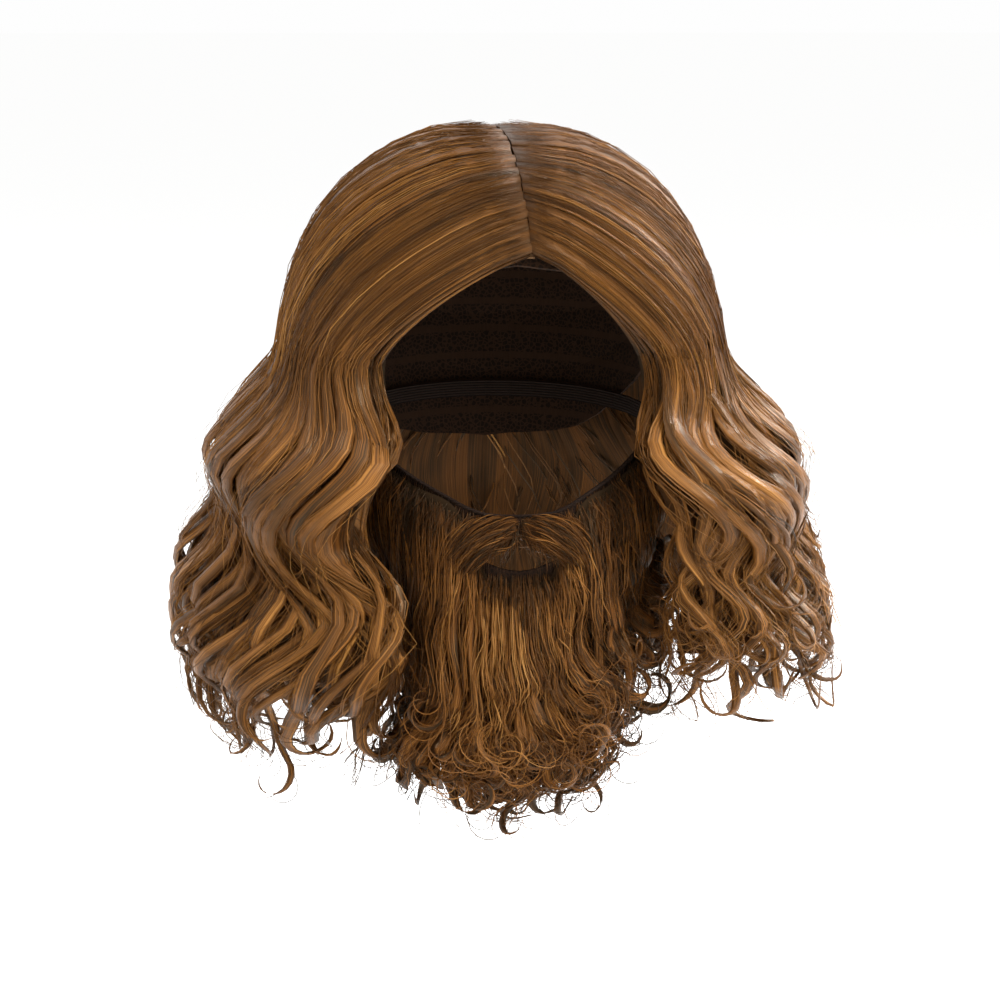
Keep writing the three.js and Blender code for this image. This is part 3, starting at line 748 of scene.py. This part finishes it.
def runs(rng, sheet, lock, layer, wave, clumps, of, spread, freedom):
    """Paths in a layer by their clump, their place across it and how freely each strays from it. Gives their
    points, the share of the lock's length at each and the outward direction at the root."""
    count = len(of)
    left, right = layer["across"]
    gap = (right - left) / len(clumps["place"])

    def own(name):
        return clumps[name][of]

    def stray(size):
        return freedom * rng.normal(0, size, count)

    place = own("place") + spread * gap
    height = own("height") + freedom * rng.uniform(-0.5, 0.5, count) * layer["deep"]
    start = own("start") + freedom * rng.uniform(0, 0.02, count)
    end = own("end") + stray(0.015)
    t = np.linspace(0, 1, layer["steps"])[None, :] ** layer["crowding"]
    share = mix(start[:, None], end[:, None], t)
    free = np.clip((share - wave["from"]) / (1 - wave["from"]), 0, 1.1)
    gather = ease(free / wave["gather"]) * layer["gathered"]
    at_place = mix(place[:, None], own("place")[:, None], gather) + layer["drift"] * ease(free)
    at_place = at_place + stray(wave["slant"])[:, None] * t
    at_height = mix(height[:, None], own("height")[:, None], gather)
    at_height = at_height * (1 - layer["dive"] * ease((t - 0.6) / 0.4)) * (1 - layer["rise"] * (1 - ease(t / 0.3)))
    at_height = at_height * mix(wave["root"], 1, ease(share / wave["root_run"]))
    length = free * wave["length"] * (1 + wave["tightening"] * free)
    phase = (own("phase") + stray(layer["stray"]))[:, None]
    turn = phase + 2 * math.pi * length / (wave["long"] * own("long"))[:, None]
    curl_turn = 1.7 * phase + 2 * math.pi * length / (wave["curl_long"] * own("long"))[:, None]
    swing = wave["swing"] * own("swing")[:, None] * ease(free / 0.3)
    curl = wave["curl"] * own("curl")[:, None] * ease((free - wave["curl_from"]) / (0.9 - wave["curl_from"]))
    fly = freedom * layer["fly"] * ease(free / 0.6) * rng.uniform(0.2, 1, count)[:, None]
    fly_turn = rng.uniform(0, 2 * math.pi, count)[:, None] + length * rng.uniform(0.04, 0.09, count)[:, None]
    sideways = swing * np.sin(turn) + curl * np.cos(curl_turn) + fly * np.sin(fly_turn)
    out = 0.6 * swing * np.cos(turn) + curl * np.sin(curl_turn) + fly * (0.4 + 0.6 * np.cos(1.3 * fly_turn))
    out = out + freedom * rng.uniform(0.7, 2.7, count)[:, None] * mix(0.5, 1, ease((share - 0.1) / 0.3))
    at, aside, outward = lock_path(sheet, lock, at_place, share, at_height, (sideways, out))
    nearness = mix(0.97, rng.uniform(0.4, 1.05, count), freedom)[:, None]
    at[..., 0] -= lock["side"] * nearness * (1 - ease(share / 0.045)) * wave["to_parting"]
    along = share
    if layer["hook"]:
        lean = own("lean") + stray(0.17)
        radius = own("radius") * np.clip(1 + stray(0.25), 0.4, 1.5)
        hook_turn = own("turn") * (1 + stray(0.06))
        at = hooked(at, aside, outward, lean, radius, hook_turn, layer["hook"])
        more = share[:, -1:] + 0.012 * (np.arange(layer["hook"]) + 1)[None, :]
        along = np.concatenate([share, more], axis=1)
    return kept_in(at), np.clip(along, 0.002, 0.998), outward[:, 0]


def strands_of(rng, sheet, lock, layer, wave, clumps):
    """A layer's loose strands, gathered to its clumps."""
    of = np.repeat(np.arange(len(clumps["place"])), max(1, round(layer["each"] * lock["fill"])))
    count = len(of)
    at, along, _ = runs(rng, sheet, lock, layer, wave, clumps, of, rng.uniform(-0.65, 0.65, count), 1)
    whole = np.linspace(0, 1, at.shape[1])[None, :]
    girth = rng.uniform(*layer["girth"], count)[:, None] * taper(whole, 0.05, layer["thin"])
    # The layer's part darkens deeper layers as painted shade. The clump's and each strand's parts are random.
    tone = layer["tone"] + clumps["tone"][of] + rng.normal(0, 0.09, count) + lock["tone"]
    return {"places": at, "girth": girth, "strip": np.floor(np.clip(tone, 0, 0.999) * STRIPS), "along": along}


def ribbons_of(rng, sheet, lock, layer, wave, clumps):
    """Flat ribbons of combed hair along a layer's clumps, as rings of points with their places on the map."""
    count, columns = len(clumps["place"]), RIBBON_COLUMNS
    of = np.repeat(np.arange(count), columns)
    across = np.linspace(-0.5, 0.5, columns)
    spread = np.tile(across, count) * RIBBON_OVERLAP
    at, along, outward = runs(rng, sheet, lock, layer, wave, clumps, of, spread, 0)
    at = at.reshape(count, columns, -1, 3).swapaxes(1, 2)
    along = along.reshape(count, columns, -1).swapaxes(1, 2)
    whole = np.linspace(0, 1, at.shape[1])[None, :, None, None]
    middle = at[:, :, columns // 2, None]
    narrow = np.clip((1 - whole) / 0.5, 0.05, 1)
    if layer["start"][0] > 0.03:
        narrow = narrow * np.clip(whole / 0.4, 0.03, 1)
    at = middle + (at - middle) * narrow
    run = unit(np.gradient(at, axis=1))
    normal = unit(np.cross(run, unit(at[:, :, -1:] - at[:, :, :1])))
    root = outward.reshape(count, columns, 3)[:, columns // 2]
    normal = normal * np.sign((normal[:, 0, columns // 2] * root).sum(-1))[:, None, None, None]
    width = np.linalg.norm(at[:, :, -1] - at[:, :, 0], axis=-1)[..., None]
    arch = 1 - (2 * across) ** 2
    free = ease((along - wave["from"]) / 0.2)
    cup = width * mix(0.03, 0.18, free) * arch
    thick = np.minimum(RIBBON_THICKNESS, 0.25 * width + 0.08) * mix(0.15, 1, arch)
    top = at + normal * (cup + thick)[..., None]
    low = at + normal * (cup - thick)[..., None]
    rings = np.concatenate([top, low[:, :, RIBBON_UNDERSIDE]], axis=2)
    left = rng.uniform(BODY_SHARE, STRAND_SHARE - RIBBON_ON_MAP - 0.005, count)[:, None, None]
    over = np.concatenate([across, across[RIBBON_UNDERSIDE]]) + 0.5
    on_map = np.stack(np.broadcast_arrays(
        left + RIBBON_ON_MAP * over, np.concatenate([along, along[:, :, RIBBON_UNDERSIDE]], axis=2)
    ), axis=-1)
    return list(zip(rings, on_map))


def body_of(sheet, lock, wave):
    """The smooth body under a lock's ribbons, in the form of the lock but lower than its surface. Its part of the map
    is painted darker, as shade under the hair.
    """
    reach = wave["body_reach"]
    shares = np.linspace(0.0, reach, 34)[:, None]
    across = np.linspace(-0.5, 0.5, 11)[None, :]
    shrink = ease((shares - wave["from"]) / (0.9 - wave["from"]))
    close = ease((reach - shares) / 0.14)
    arch = 1 - 0.5 * shrink * (2 * across) ** 2
    rooted = mix(wave["root"] * 0.9, 1, ease((shares - 0.01) / wave["root_run"]))
    top = mix(0.42, mix(wave["body"][0], wave["body"][1], shrink) * arch * rooted, close)
    low = mix(mix(0.0, 0.22, shrink) + 0 * across, 0.4, 1 - close)
    narrow = mix(1.0, lock["body_width"], shrink) * across + lock["edge"] * 0.09 * (0.5 - across)
    upper = lock_path(sheet, lock, narrow, shares + 0 * across, top)[0]
    lower = lock_path(sheet, lock, narrow, shares + 0 * across, low)[0]
    rings = np.concatenate([upper, lower[:, ::-1]], axis=1)
    over = mix(0.003, BODY_SHARE - 0.006, np.concatenate([across, across[:, ::-1]], axis=1) + 0.5)
    on_map = np.stack(np.broadcast_arrays(over, np.clip(shares, 0.002, 0.998)), axis=-1)
    return rings, on_map


def rows_of(names, *rows):
    """A table's rows as dicts by its column names."""
    return [dict(zip(names.split(), row)) for row in rows]


# A layer's tone is the tone of its strands. The layers that lie deeper in a lock are given lower tones, as painted
# shade.
LAYER_COLUMNS = (
    "ribbons clumps each steps hook across heights deep start end crowding gathered dive rise stray fly girth "
    "thin tone lean radius turn drift"
)
FULL = (-0.53, 0.53)
WIG_WAVE = {
    "from": 0.4, "gather": 0.5, "length": 200, "root": 1.3, "root_run": 0.07, "to_parting": 2.4,
    "tightening": 0.2, "long": 96, "swing": 10, "curl": 6, "curl_from": 0.3, "curl_long": 62,
    "slant": 0.05, "body": (0.84, 0.55), "body_reach": 0.86,
}
WIG_LAYERS = rows_of(
    LAYER_COLUMNS,
    (1, 4, 7, 41, 9, FULL, (0.84, 0.92), 0.08, (0, 0.003), (0.82, 0.94), 0.76, 0.14, 0, 0, 0.14, 0.9,
     (0.16, 0.28), 0.3, 0.5, (-0.5, 0.7), (8, 14), (2.4, 4.8), 0),
    (1, 4, 6, 27, 10, FULL, (0.45, 0.8), 0.12, (0.3, 0.4), (0.8, 0.98), 0.85, 0.24, 0, 0.3, 0.16, 1.2,
     (0.17, 0.3), 0.3, 0.36, (-0.6, 0.9), (7, 13), (2.6, 5), 0),
    (1, 3, 7, 20, 10, FULL, (0.86, 0.98), 0.1, (0.22, 0.38), (0.62, 0.84), 0.9, 0.5, 0, 0.6, 0.14, 0.9,
     (0.16, 0.28), 0.3, 0.56, (-0.25, 0.25), (7, 12), (2.6, 4.8), 0),
    (1, 4, 5, 15, 11, FULL, (0.62, 0.97), 0.1, (0.46, 0.6), (0.76, 0.97), 1, 0.45, 0, 0.58, 0.2, 1,
     (0.16, 0.28), 0.3, 0.44, (-0.5, 0.6), (6, 11), (3.2, 6), 0),
    (0, 12, 5, 10, 0, FULL, (0.86, 0.97), 0.05, (0, 0.012), (0.44, 0.58), 1, 0, 0.35, 0, 0.1, 0,
     (0.13, 0.22), 0.2, 0.48, (0, 1), (1, 2), (1, 2), 0),
    (0, 22, 1, 17, 6, FULL, (0.8, 1.08), 0.1, (0.36, 0.5), (0.72, 0.94), 1, 0, 0, 0.3, 0.9, 6,
     (0.07, 0.12), 0.5, 0.6, (-0.6, 1.2), (8, 20), (1, 4), 0),
)
EDGE_LAYER = rows_of(
    LAYER_COLUMNS,
    (1, 2, 8, 34, 9, (-0.6, -0.36), (0.1, 0.75), 0.15, (0.0, 0.006), (0.84, 0.95), 0.75, 0.2, 0, 0, 0.14, 1,
     (0.16, 0.28), 0.3, 0.4, (-0.4, 0.9), (9, 14), (2.2, 4.6), -0.1),
    (1, 4, 7, 20, 9, (-0.62, -0.2), (0.1, 0.6), 0.15, (0.36, 0.44), (0.8, 0.98), 1, 0.3, 0, 0, 0.2, 1.5,
     (0.17, 0.3), 0.3, 0.3, (-0.6, 0.9), (9, 14), (2.4, 5), -0.9),
)
INNER_LAYER = rows_of(
    LAYER_COLUMNS,
    (0, 8, 5, 16, 0, FULL, (0.02, 0.18), 0.05, (0.38, 0.44), (0.8, 0.95), 1, 0.2, 0, 0, 0.2, 0.6,
     (0.3, 0.5), 0.3, 0.22, (0, 1), (1, 2), (1, 2), 0),
)
BEARD_WAVE = {
    "from": 0.22, "gather": 0.5, "length": 100, "root": 0.15, "root_run": 0.13, "to_parting": 0,
    "tightening": 0.35, "long": 62, "swing": 4.5, "curl": 4.5, "curl_from": 0.12, "curl_long": 34,
    "slant": 0.3, "body": (0.45, 0.5), "body_reach": 0.9,
}
BEARD_LAYERS = rows_of(
    LAYER_COLUMNS,
    (0, 9, 8, 8, 0, FULL, (0.45, 0.9), 0.2, (0, 0.02), (0.2, 0.42), 1, 0.1, 0.4, 0, 0.2, 0.8,
     (0.15, 0.27), 0.3, 0.52, (0, 1), (1, 2), (1, 2), 0),
    (0, 8, 5, 10, 0, FULL, (0.6, 1.05), 0.2, (0.02, 0.26), (0.36, 0.62), 1, 0.1, 0.3, 0.15, 0.3, 1.2,
     (0.15, 0.27), 0.4, 0.58, (0, 1), (1, 2), (1, 2), 0),
    (1, 3, 8, 16, 11, FULL, (0.7, 0.95), 0.15, (0.035, 0.12), (0.66, 0.92), 0.9, 0.3, 0, 0.3, 0.2, 1,
     (0.15, 0.27), 0.3, 0.5, (-0.5, 0.7), (5.5, 8.5), (3, 6), 0),
    (1, 4, 6, 12, 11, FULL, (0.25, 0.6), 0.2, (0.05, 0.35), (0.66, 0.97), 1, 0.3, 0, 0.3, 0.2, 1,
     (0.15, 0.27), 0.3, 0.34, (-0.8, 1), (5.5, 8.5), (2.6, 6), 0),
    (1, 5, 6, 9, 12, FULL, (0.85, 1.05), 0.2, (0.35, 0.6), (0.56, 0.9), 1, 0.4, 0, 0.3, 0.2, 1,
     (0.15, 0.27), 0.3, 0.56, (-0.4, 0.5), (5.5, 8.5), (3.6, 6.6), 0),
    (0, 14, 1, 15, 6, FULL, (0.8, 1.08), 0.1, (0.1, 0.5), (0.7, 0.93), 1, 0, 0, 0.3, 0.9, 3.5,
     (0.06, 0.11), 0.5, 0.6, (-0.6, 1.2), (6, 14), (1.5, 5), 0),
)


def hair_lock(node, sheet, lock, layers, wave, seed, tree, material):
    """One lock of the wig or the beard: its body, its ribbons and its loose strands, in one piece."""
    rng = np.random.default_rng(seed)
    bundles, skins = [], [body_of(sheet, lock, wave)]
    for layer in layers:
        clumps = clump_table(rng, layer, lock)
        bundles.append(strands_of(rng, sheet, lock, layer, wave, clumps))
        if layer["ribbons"]:
            skins += ribbons_of(rng, sheet, lock, layer, wave, clumps)
    strands = strands_mesh(node + "_strands", bundles, tree, material)
    return whole_piece(node, [strands, skins_mesh(node + "_skins", skins, material)])


def whole_piece(node, parts):
    piece = joined(node + "_hair", parts)
    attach(piece, "root")
    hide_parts(node)
    return piece


def moustache_piece(name, side, seed, tree, material):
    """One half of the moustache, swept from under the nose past the corner of the mouth."""
    rng = np.random.default_rng(seed)
    sheet = moustache_sheet(side)
    count, steps = 460, 11
    t = np.linspace(0, 1, steps)[None, :]
    start = rng.uniform(-0.03, 0.8, count)[:, None]
    run = rng.uniform(0.3, 0.62, count)[:, None]
    share = start + run * t
    upper = rng.uniform(-1.1, 1.0, count)[:, None]
    place = upper + 0.35 * (1.0 - upper) * ease(t)
    thick = column(MOUSTACHE_ROWS, "share", "thickness", np.clip(share, 0, 1)) * MOUSTACHE_THICKNESS
    bulge = 1 - 0.5 * np.clip(np.abs(place), 0, 1) ** 2
    height = thick * bulge * rng.uniform(0.2, 0.95, count)[:, None] * ease(0.12 + t / 0.4)
    at = sheet(place, np.clip(share, 0, 1), height)
    past = np.maximum(share - 1, 0)
    at[..., 2] -= past * 60
    at[..., 0] += side * past * 25
    before = np.maximum(-share, 0)
    at[..., 0] -= side * before * 60
    at[..., 2] += 0.8 * np.sin(5 * t + rng.uniform(0, 6.28, count)[:, None])
    girth = rng.uniform(0.15, 0.27, count)[:, None] * taper(t, 0.08, 0.5)
    tone = np.clip(rng.normal(0.38, 0.17, count), 0, 0.999)
    along = np.broadcast_to(0.2 + 0.5 * t, (count, steps))
    bundle = {"places": at, "girth": girth, "strip": np.floor(tone * STRIPS), "along": along}
    strands = strands_mesh(name + "_strands", [bundle], tree, material)
    shares = np.linspace(0.0, 0.97, 24)[:, None]
    across = np.linspace(-0.95, 0.95, 9)[None, :]
    full = column(MOUSTACHE_ROWS, "share", "thickness", shares) * MOUSTACHE_THICKNESS
    top = sheet(across, shares, 0.3 + full * 0.42 * (1 - 0.8 * across**2) * ease(0.2 + shares / 0.2))
    low = sheet(across, shares, 0.1 + 0 * full * across)
    rings = np.concatenate([top, low[:, ::-1]], axis=1)
    over = mix(0.003, BODY_SHARE - 0.006, np.concatenate([across, across[:, ::-1]], axis=1) / 2 + 0.5)
    on_map = np.stack(np.broadcast_arrays(over, 0.1 + 0.5 * shares), axis=-1)
    return whole_piece(name, [strands, skins_mesh(name + "_skins", [(rings, on_map)], material)])


# The nets and the elastic

BASE_ROWS = {
    "angle": [0, 14, 28, 42, 56, 68, 78],
    "top": [0.0, -0.005, -0.045, -0.085, -0.13, -0.19, -0.24],
}
BASE_EDGE_ANGLE = 78


def base_top(angle):
    return MOUTH_DROP * (1 + column(BASE_ROWS, "angle", "top", np.abs(angle))) - LIP_HEIGHT


def edge_cord(tree, material):
    """The twisted thread that edges the beard's net from ear to ear."""
    rng = np.random.default_rng(71)
    steps = 340
    angle = np.linspace(-BASE_EDGE_ANGLE + 0.5, BASE_EDGE_ANGLE - 0.5, steps)
    path = over_head(angle, base_top(angle) + 0.3, BASE_THICKNESS + 0.1 + 0 * angle)
    run = unit(np.gradient(path, axis=0))
    out = unit(over_head(angle, base_top(angle) + 0.3, BASE_THICKNESS + 1.1 + 0 * angle) - path)
    down = np.cross(run, out)
    turn = np.linspace(0, 2 * math.pi * 42, steps)
    threads = []
    for offset in (0, math.pi):
        swirl = np.cos(turn + offset)[:, None] * down + np.sin(turn + offset)[:, None] * out
        threads.append(path + 0.32 * swirl + 0.1 * rng.normal(0, 1, (steps, 1)) * down)
    cord = {
        "places": np.stack(threads),
        "girth": 0.42 + 0 * turn[None, :],
        "strip": np.array([2.0, 4.0]),
        "along": 0.3 + 0 * turn[None, :],
    }
    piece = strands_mesh("beard_edge_cord", [cord], tree, material)
    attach(piece, "root")
    return piece


def knotted_rows(rng, angle, drop, fall, lean, rise):
    """Short hairs knotted at angles and drops on the beard's net, which fall over it and stand off it."""
    count, steps = len(angle), 7
    t = np.linspace(0, 1, steps)[None, :]
    degrees = angle[:, None] + lean[:, None] * ease(t)
    height = BASE_THICKNESS + 0.1 + rise[:, None] * ease(t / 0.7)
    at = over_head(degrees, drop[:, None] + fall[:, None] * t, height)
    tone = np.clip(rng.normal(0.26, 0.12, count), 0, 0.999)
    girth = rng.uniform(0.14, 0.25, count)[:, None] * taper(t, 0.05, 0.5)
    along = np.broadcast_to(0.1 + 0.3 * t, (count, steps))
    return {"places": at, "girth": girth, "strip": np.floor(tone * STRIPS), "along": along}


def edge_hair(tree, material):
    """The first hairs of the beard, along the net's upper edge and under the lower lip."""
    rng = np.random.default_rng(72)
    count = 760
    angle = rng.uniform(-BASE_EDGE_ANGLE + 1, BASE_EDGE_ANGLE - 1, count)
    upper = knotted_rows(
        rng, angle, base_top(angle) + rng.uniform(0.4, 5, count), rng.uniform(12, 24, count),
        np.sign(angle) * rng.uniform(0, 8, count), rng.uniform(3, 9, count),
    )
    count = 260
    angle = rng.uniform(-17, 17, count)
    under_lip = knotted_rows(
        rng, angle, MOUTH_DROP + LIP_BAND + rng.uniform(0.2, 4, count), rng.uniform(9, 20, count),
        angle * 0.15, rng.uniform(3, 8, count),
    )
    piece = strands_mesh("beard_edge_hair", [upper, under_lip], tree, material)
    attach(piece, "root")
    return piece


def net_finish(name, thread, hole, cell, bands):
    """A knotted net: threads round small holes, with sewn bands across where bands are given."""
    finish = Finish(name)
    where = finish.node("ShaderNodeTexCoord", None, None, 3)
    cells = finish.node("ShaderNodeTexVoronoi", {"feature": "DISTANCE_TO_EDGE"}, {"Vector": where, "Scale": 1 / cell})
    net = cells.maths("LESS_THAN", 0.13)
    tall = finish.node("ShaderNodeSeparateXYZ", None, {0: where}, 2)
    band = (tall * (2 * math.pi / bands)).maths("SINE").maths("GREATER_THAN", 0.72)
    cloth = net.maths("MAXIMUM", band)
    speckle = finish.noise(where, 900.0, 2.0)
    colour = finish.ramp(cloth * 0.7 + speckle * 0.3, [(0.0, hole), (1.0, thread)])
    bump = finish.node("ShaderNodeBump", None, {"Strength": 0.6, "Distance": 0.0006, "Height": cloth + speckle * 0.3})
    return finish.surface({"Base Color": colour, "Roughness": 0.9, "Specular IOR Level": 0.12, "Normal": bump})


def knit_finish(name, light, dark, rib):
    """Ribbed knitting that runs round, with a fleck in the yarn."""
    finish = Finish(name)
    where = finish.node("ShaderNodeTexCoord", None, None, 3)
    tall = finish.node("ShaderNodeSeparateXYZ", None, {0: where}, 2)
    ribs = (tall * (2 * math.pi / rib)).maths("SINE") * 0.5 + 0.5
    fleck = finish.noise(where, 1400.0, 2.0)
    colour = finish.ramp(ribs * 0.6 + fleck * 0.4, [(0.0, dark), (1.0, light)])
    bump = finish.node("ShaderNodeBump", None, {"Strength": 0.5, "Distance": 0.0004, "Height": ribs + fleck * 0.4})
    return finish.surface({"Base Color": colour, "Roughness": 0.85, "Specular IOR Level": 0.2, "Normal": bump})


def dress(node, material):
    """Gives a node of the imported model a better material."""
    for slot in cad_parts[node].material_slots:
        slot.material = material


# The camera, the floor and the light

CAMERA_AZIMUTH = -5
CAMERA_ELEVATION = 12
CAMERA_DISTANCE = 1.1
CAMERA_LENS = 81.6
AIM = Vector((0, 0, -0.166))
FLOOR_Z = -0.5


def aimed(thing, place, aim):
    thing.location = place
    thing.rotation_euler = (Vector(aim) - Vector(place)).to_track_quat("-Z", "Y").to_euler()


def make_camera():
    data = bpy.data.cameras.new("camera")
    data.lens = CAMERA_LENS
    data.sensor_width = 36
    data.clip_end = 200
    camera = new_object("camera", data)
    turn, rise = math.radians(CAMERA_AZIMUTH), math.radians(CAMERA_ELEVATION)
    away = Vector((math.sin(turn) * math.cos(rise), -math.cos(turn) * math.cos(rise), math.sin(rise)))
    aimed(camera, AIM + away * CAMERA_DISTANCE, AIM)
    bpy.context.scene.camera = camera


def make_light(name, place, size, power, colour=(1, 1, 1)):
    data = bpy.data.lights.new(name, "AREA")
    data.shape = "SQUARE"
    data.size = size
    data.energy = power
    data.color = colour
    aimed(new_object(name, data), Vector(place), AIM)


def make_studio():
    world = bpy.data.worlds.new("studio")
    world.use_nodes = True
    background = world.node_tree.nodes["Background"]
    background.inputs["Color"].default_value = (1, 1, 1, 1)
    background.inputs["Strength"].default_value = 0.99
    bpy.context.scene.world = world
    bpy.context.scene.view_settings.view_transform = "Standard"
    make_light("key", (1.2, -0.8, 1.2), 0.45, 34)
    make_light("fill", (-1.0, -1.2, 1.0), 0.6, 8, (1, 0.9, 0.76))
    make_light("side", (1.4, 0.6, 0.6), 0.4, 36)
    make_light("back", (-0.6, 1.4, 0.9), 1.0, 6)
    make_light("top", (0.7, -0.5, 1.5), 0.4, 8)
    finish = Finish("pale_floor")
    where = finish.node("ShaderNodeTexCoord", None, None, 3)
    speckle = finish.noise(where, 40.0)
    pale = finish.ramp(speckle, [(0, (0.984, 0.984, 0.98, 1)), (1, (0.995, 0.995, 0.99, 1))])
    material = finish.surface({"Base Color": pale, "Roughness": 0.95, "Specular IOR Level": 0.0})
    mesh = bpy.data.meshes.new("floor")
    far = 90
    corners = [(-far, -far, FLOOR_Z), (far, -far, FLOOR_Z), (far, far, FLOOR_Z), (-far, far, FLOOR_Z)]
    mesh.from_pydata(corners, [], [(0, 1, 2, 3)])
    mesh.materials.append(material)
    new_object("floor", mesh)


make_camera()
make_studio()

wig_hair = hair_finish(
    "golden_brown_hair",
    [(0.0, tint(24, 11, 2)), (0.35, tint(86, 50, 17)), (0.65, tint(136, 87, 36)), (1.0, tint(200, 143, 74))],
    0.2, -0.03, 0.26,
)
beard_hair = hair_finish(
    "beard_hair",
    [(0.0, tint(24, 10, 1)), (0.29, tint(82, 45, 12)), (0.54, tint(140, 88, 36)), (1.0, tint(210, 154, 86))],
    0.35, -0.3, 0.3,
)
tree = strand_tree()
# Towards the middle of the back the left side's waves shift, so that they go on from the right side's
LEFT_LAG = 180
for side_name, side, lines in [("right", -1, RIGHT_LINES), ("left", 1, LEFT_LINES)]:
    sheet = wig_sheet(lines, side)
    for i in range(LOCKS_A_SIDE):
        lag = LEFT_LAG * ease((i - 3) / 4) if side > 0 else 0
        lock = {
            "rows": LOCK_ROWS, "thickness": LOCK_THICKNESS, "middle": i + 0.5, "side": side,
            "phase": math.radians(float(column(lines, "place", "phase", i + 0.5) + lag)), "tone": 0,
            "edge": 1 if i == 0 else 0, "body_width": 0.9 if i < 5 else 1.02, "fill": 1 if i < 4 else 0.45,
            "wide": 1 if i < 4 else 1.25,
        }
        layers = WIG_LAYERS + (EDGE_LAYER if i == 0 else []) + (INNER_LAYER if i > 4 else [])
        hair_lock(
            f"wig_lock_{side_name}_{i + 1}", sheet, lock, layers, WIG_WAVE,
            100 + 10 * i + side, tree, wig_hair,
        )
for i, node in enumerate(BEARD_LOCK_NAMES):
    lock = {
        "rows": BEARD_ROWS, "thickness": BEARD_LOCK_THICKNESS, "middle": i + 0.5, "side": 0,
        "phase": 1.1 * i, "tone": -0.14 if "cheek" in node else 0.02, "edge": 0, "body_width": 0.95, "fill": 1,
        "wide": 1,
    }
    hair_lock(
        node, beard_sheet, lock, BEARD_LAYERS, BEARD_WAVE, 400 + i, tree, beard_hair,
    )
moustache_piece("moustache_right", -1, 600, tree, beard_hair)
moustache_piece("moustache_left", 1, 601, tree, beard_hair)
edge_cord(tree, knit_finish("edge_thread", tint(42, 25, 13), tint(17, 9, 4), 0.0009))
edge_hair(tree, beard_hair)

dress("wig_cap", net_finish("cap_net", tint(52, 34, 21), tint(20, 12, 7), 0.0022, 0.014))
dress("beard_base", net_finish("beard_net", tint(36, 21, 11), tint(14, 7, 3), 0.0016, 0.4))
dress("parting_strip", net_finish("parting_ribbon", tint(140, 106, 74), tint(86, 60, 38), 0.001, 0.4))
dress("beard_elastic", knit_finish("knitted_elastic", tint(46, 31, 21), tint(18, 11, 7), 0.0013))

bpy.context.view_layer.update()
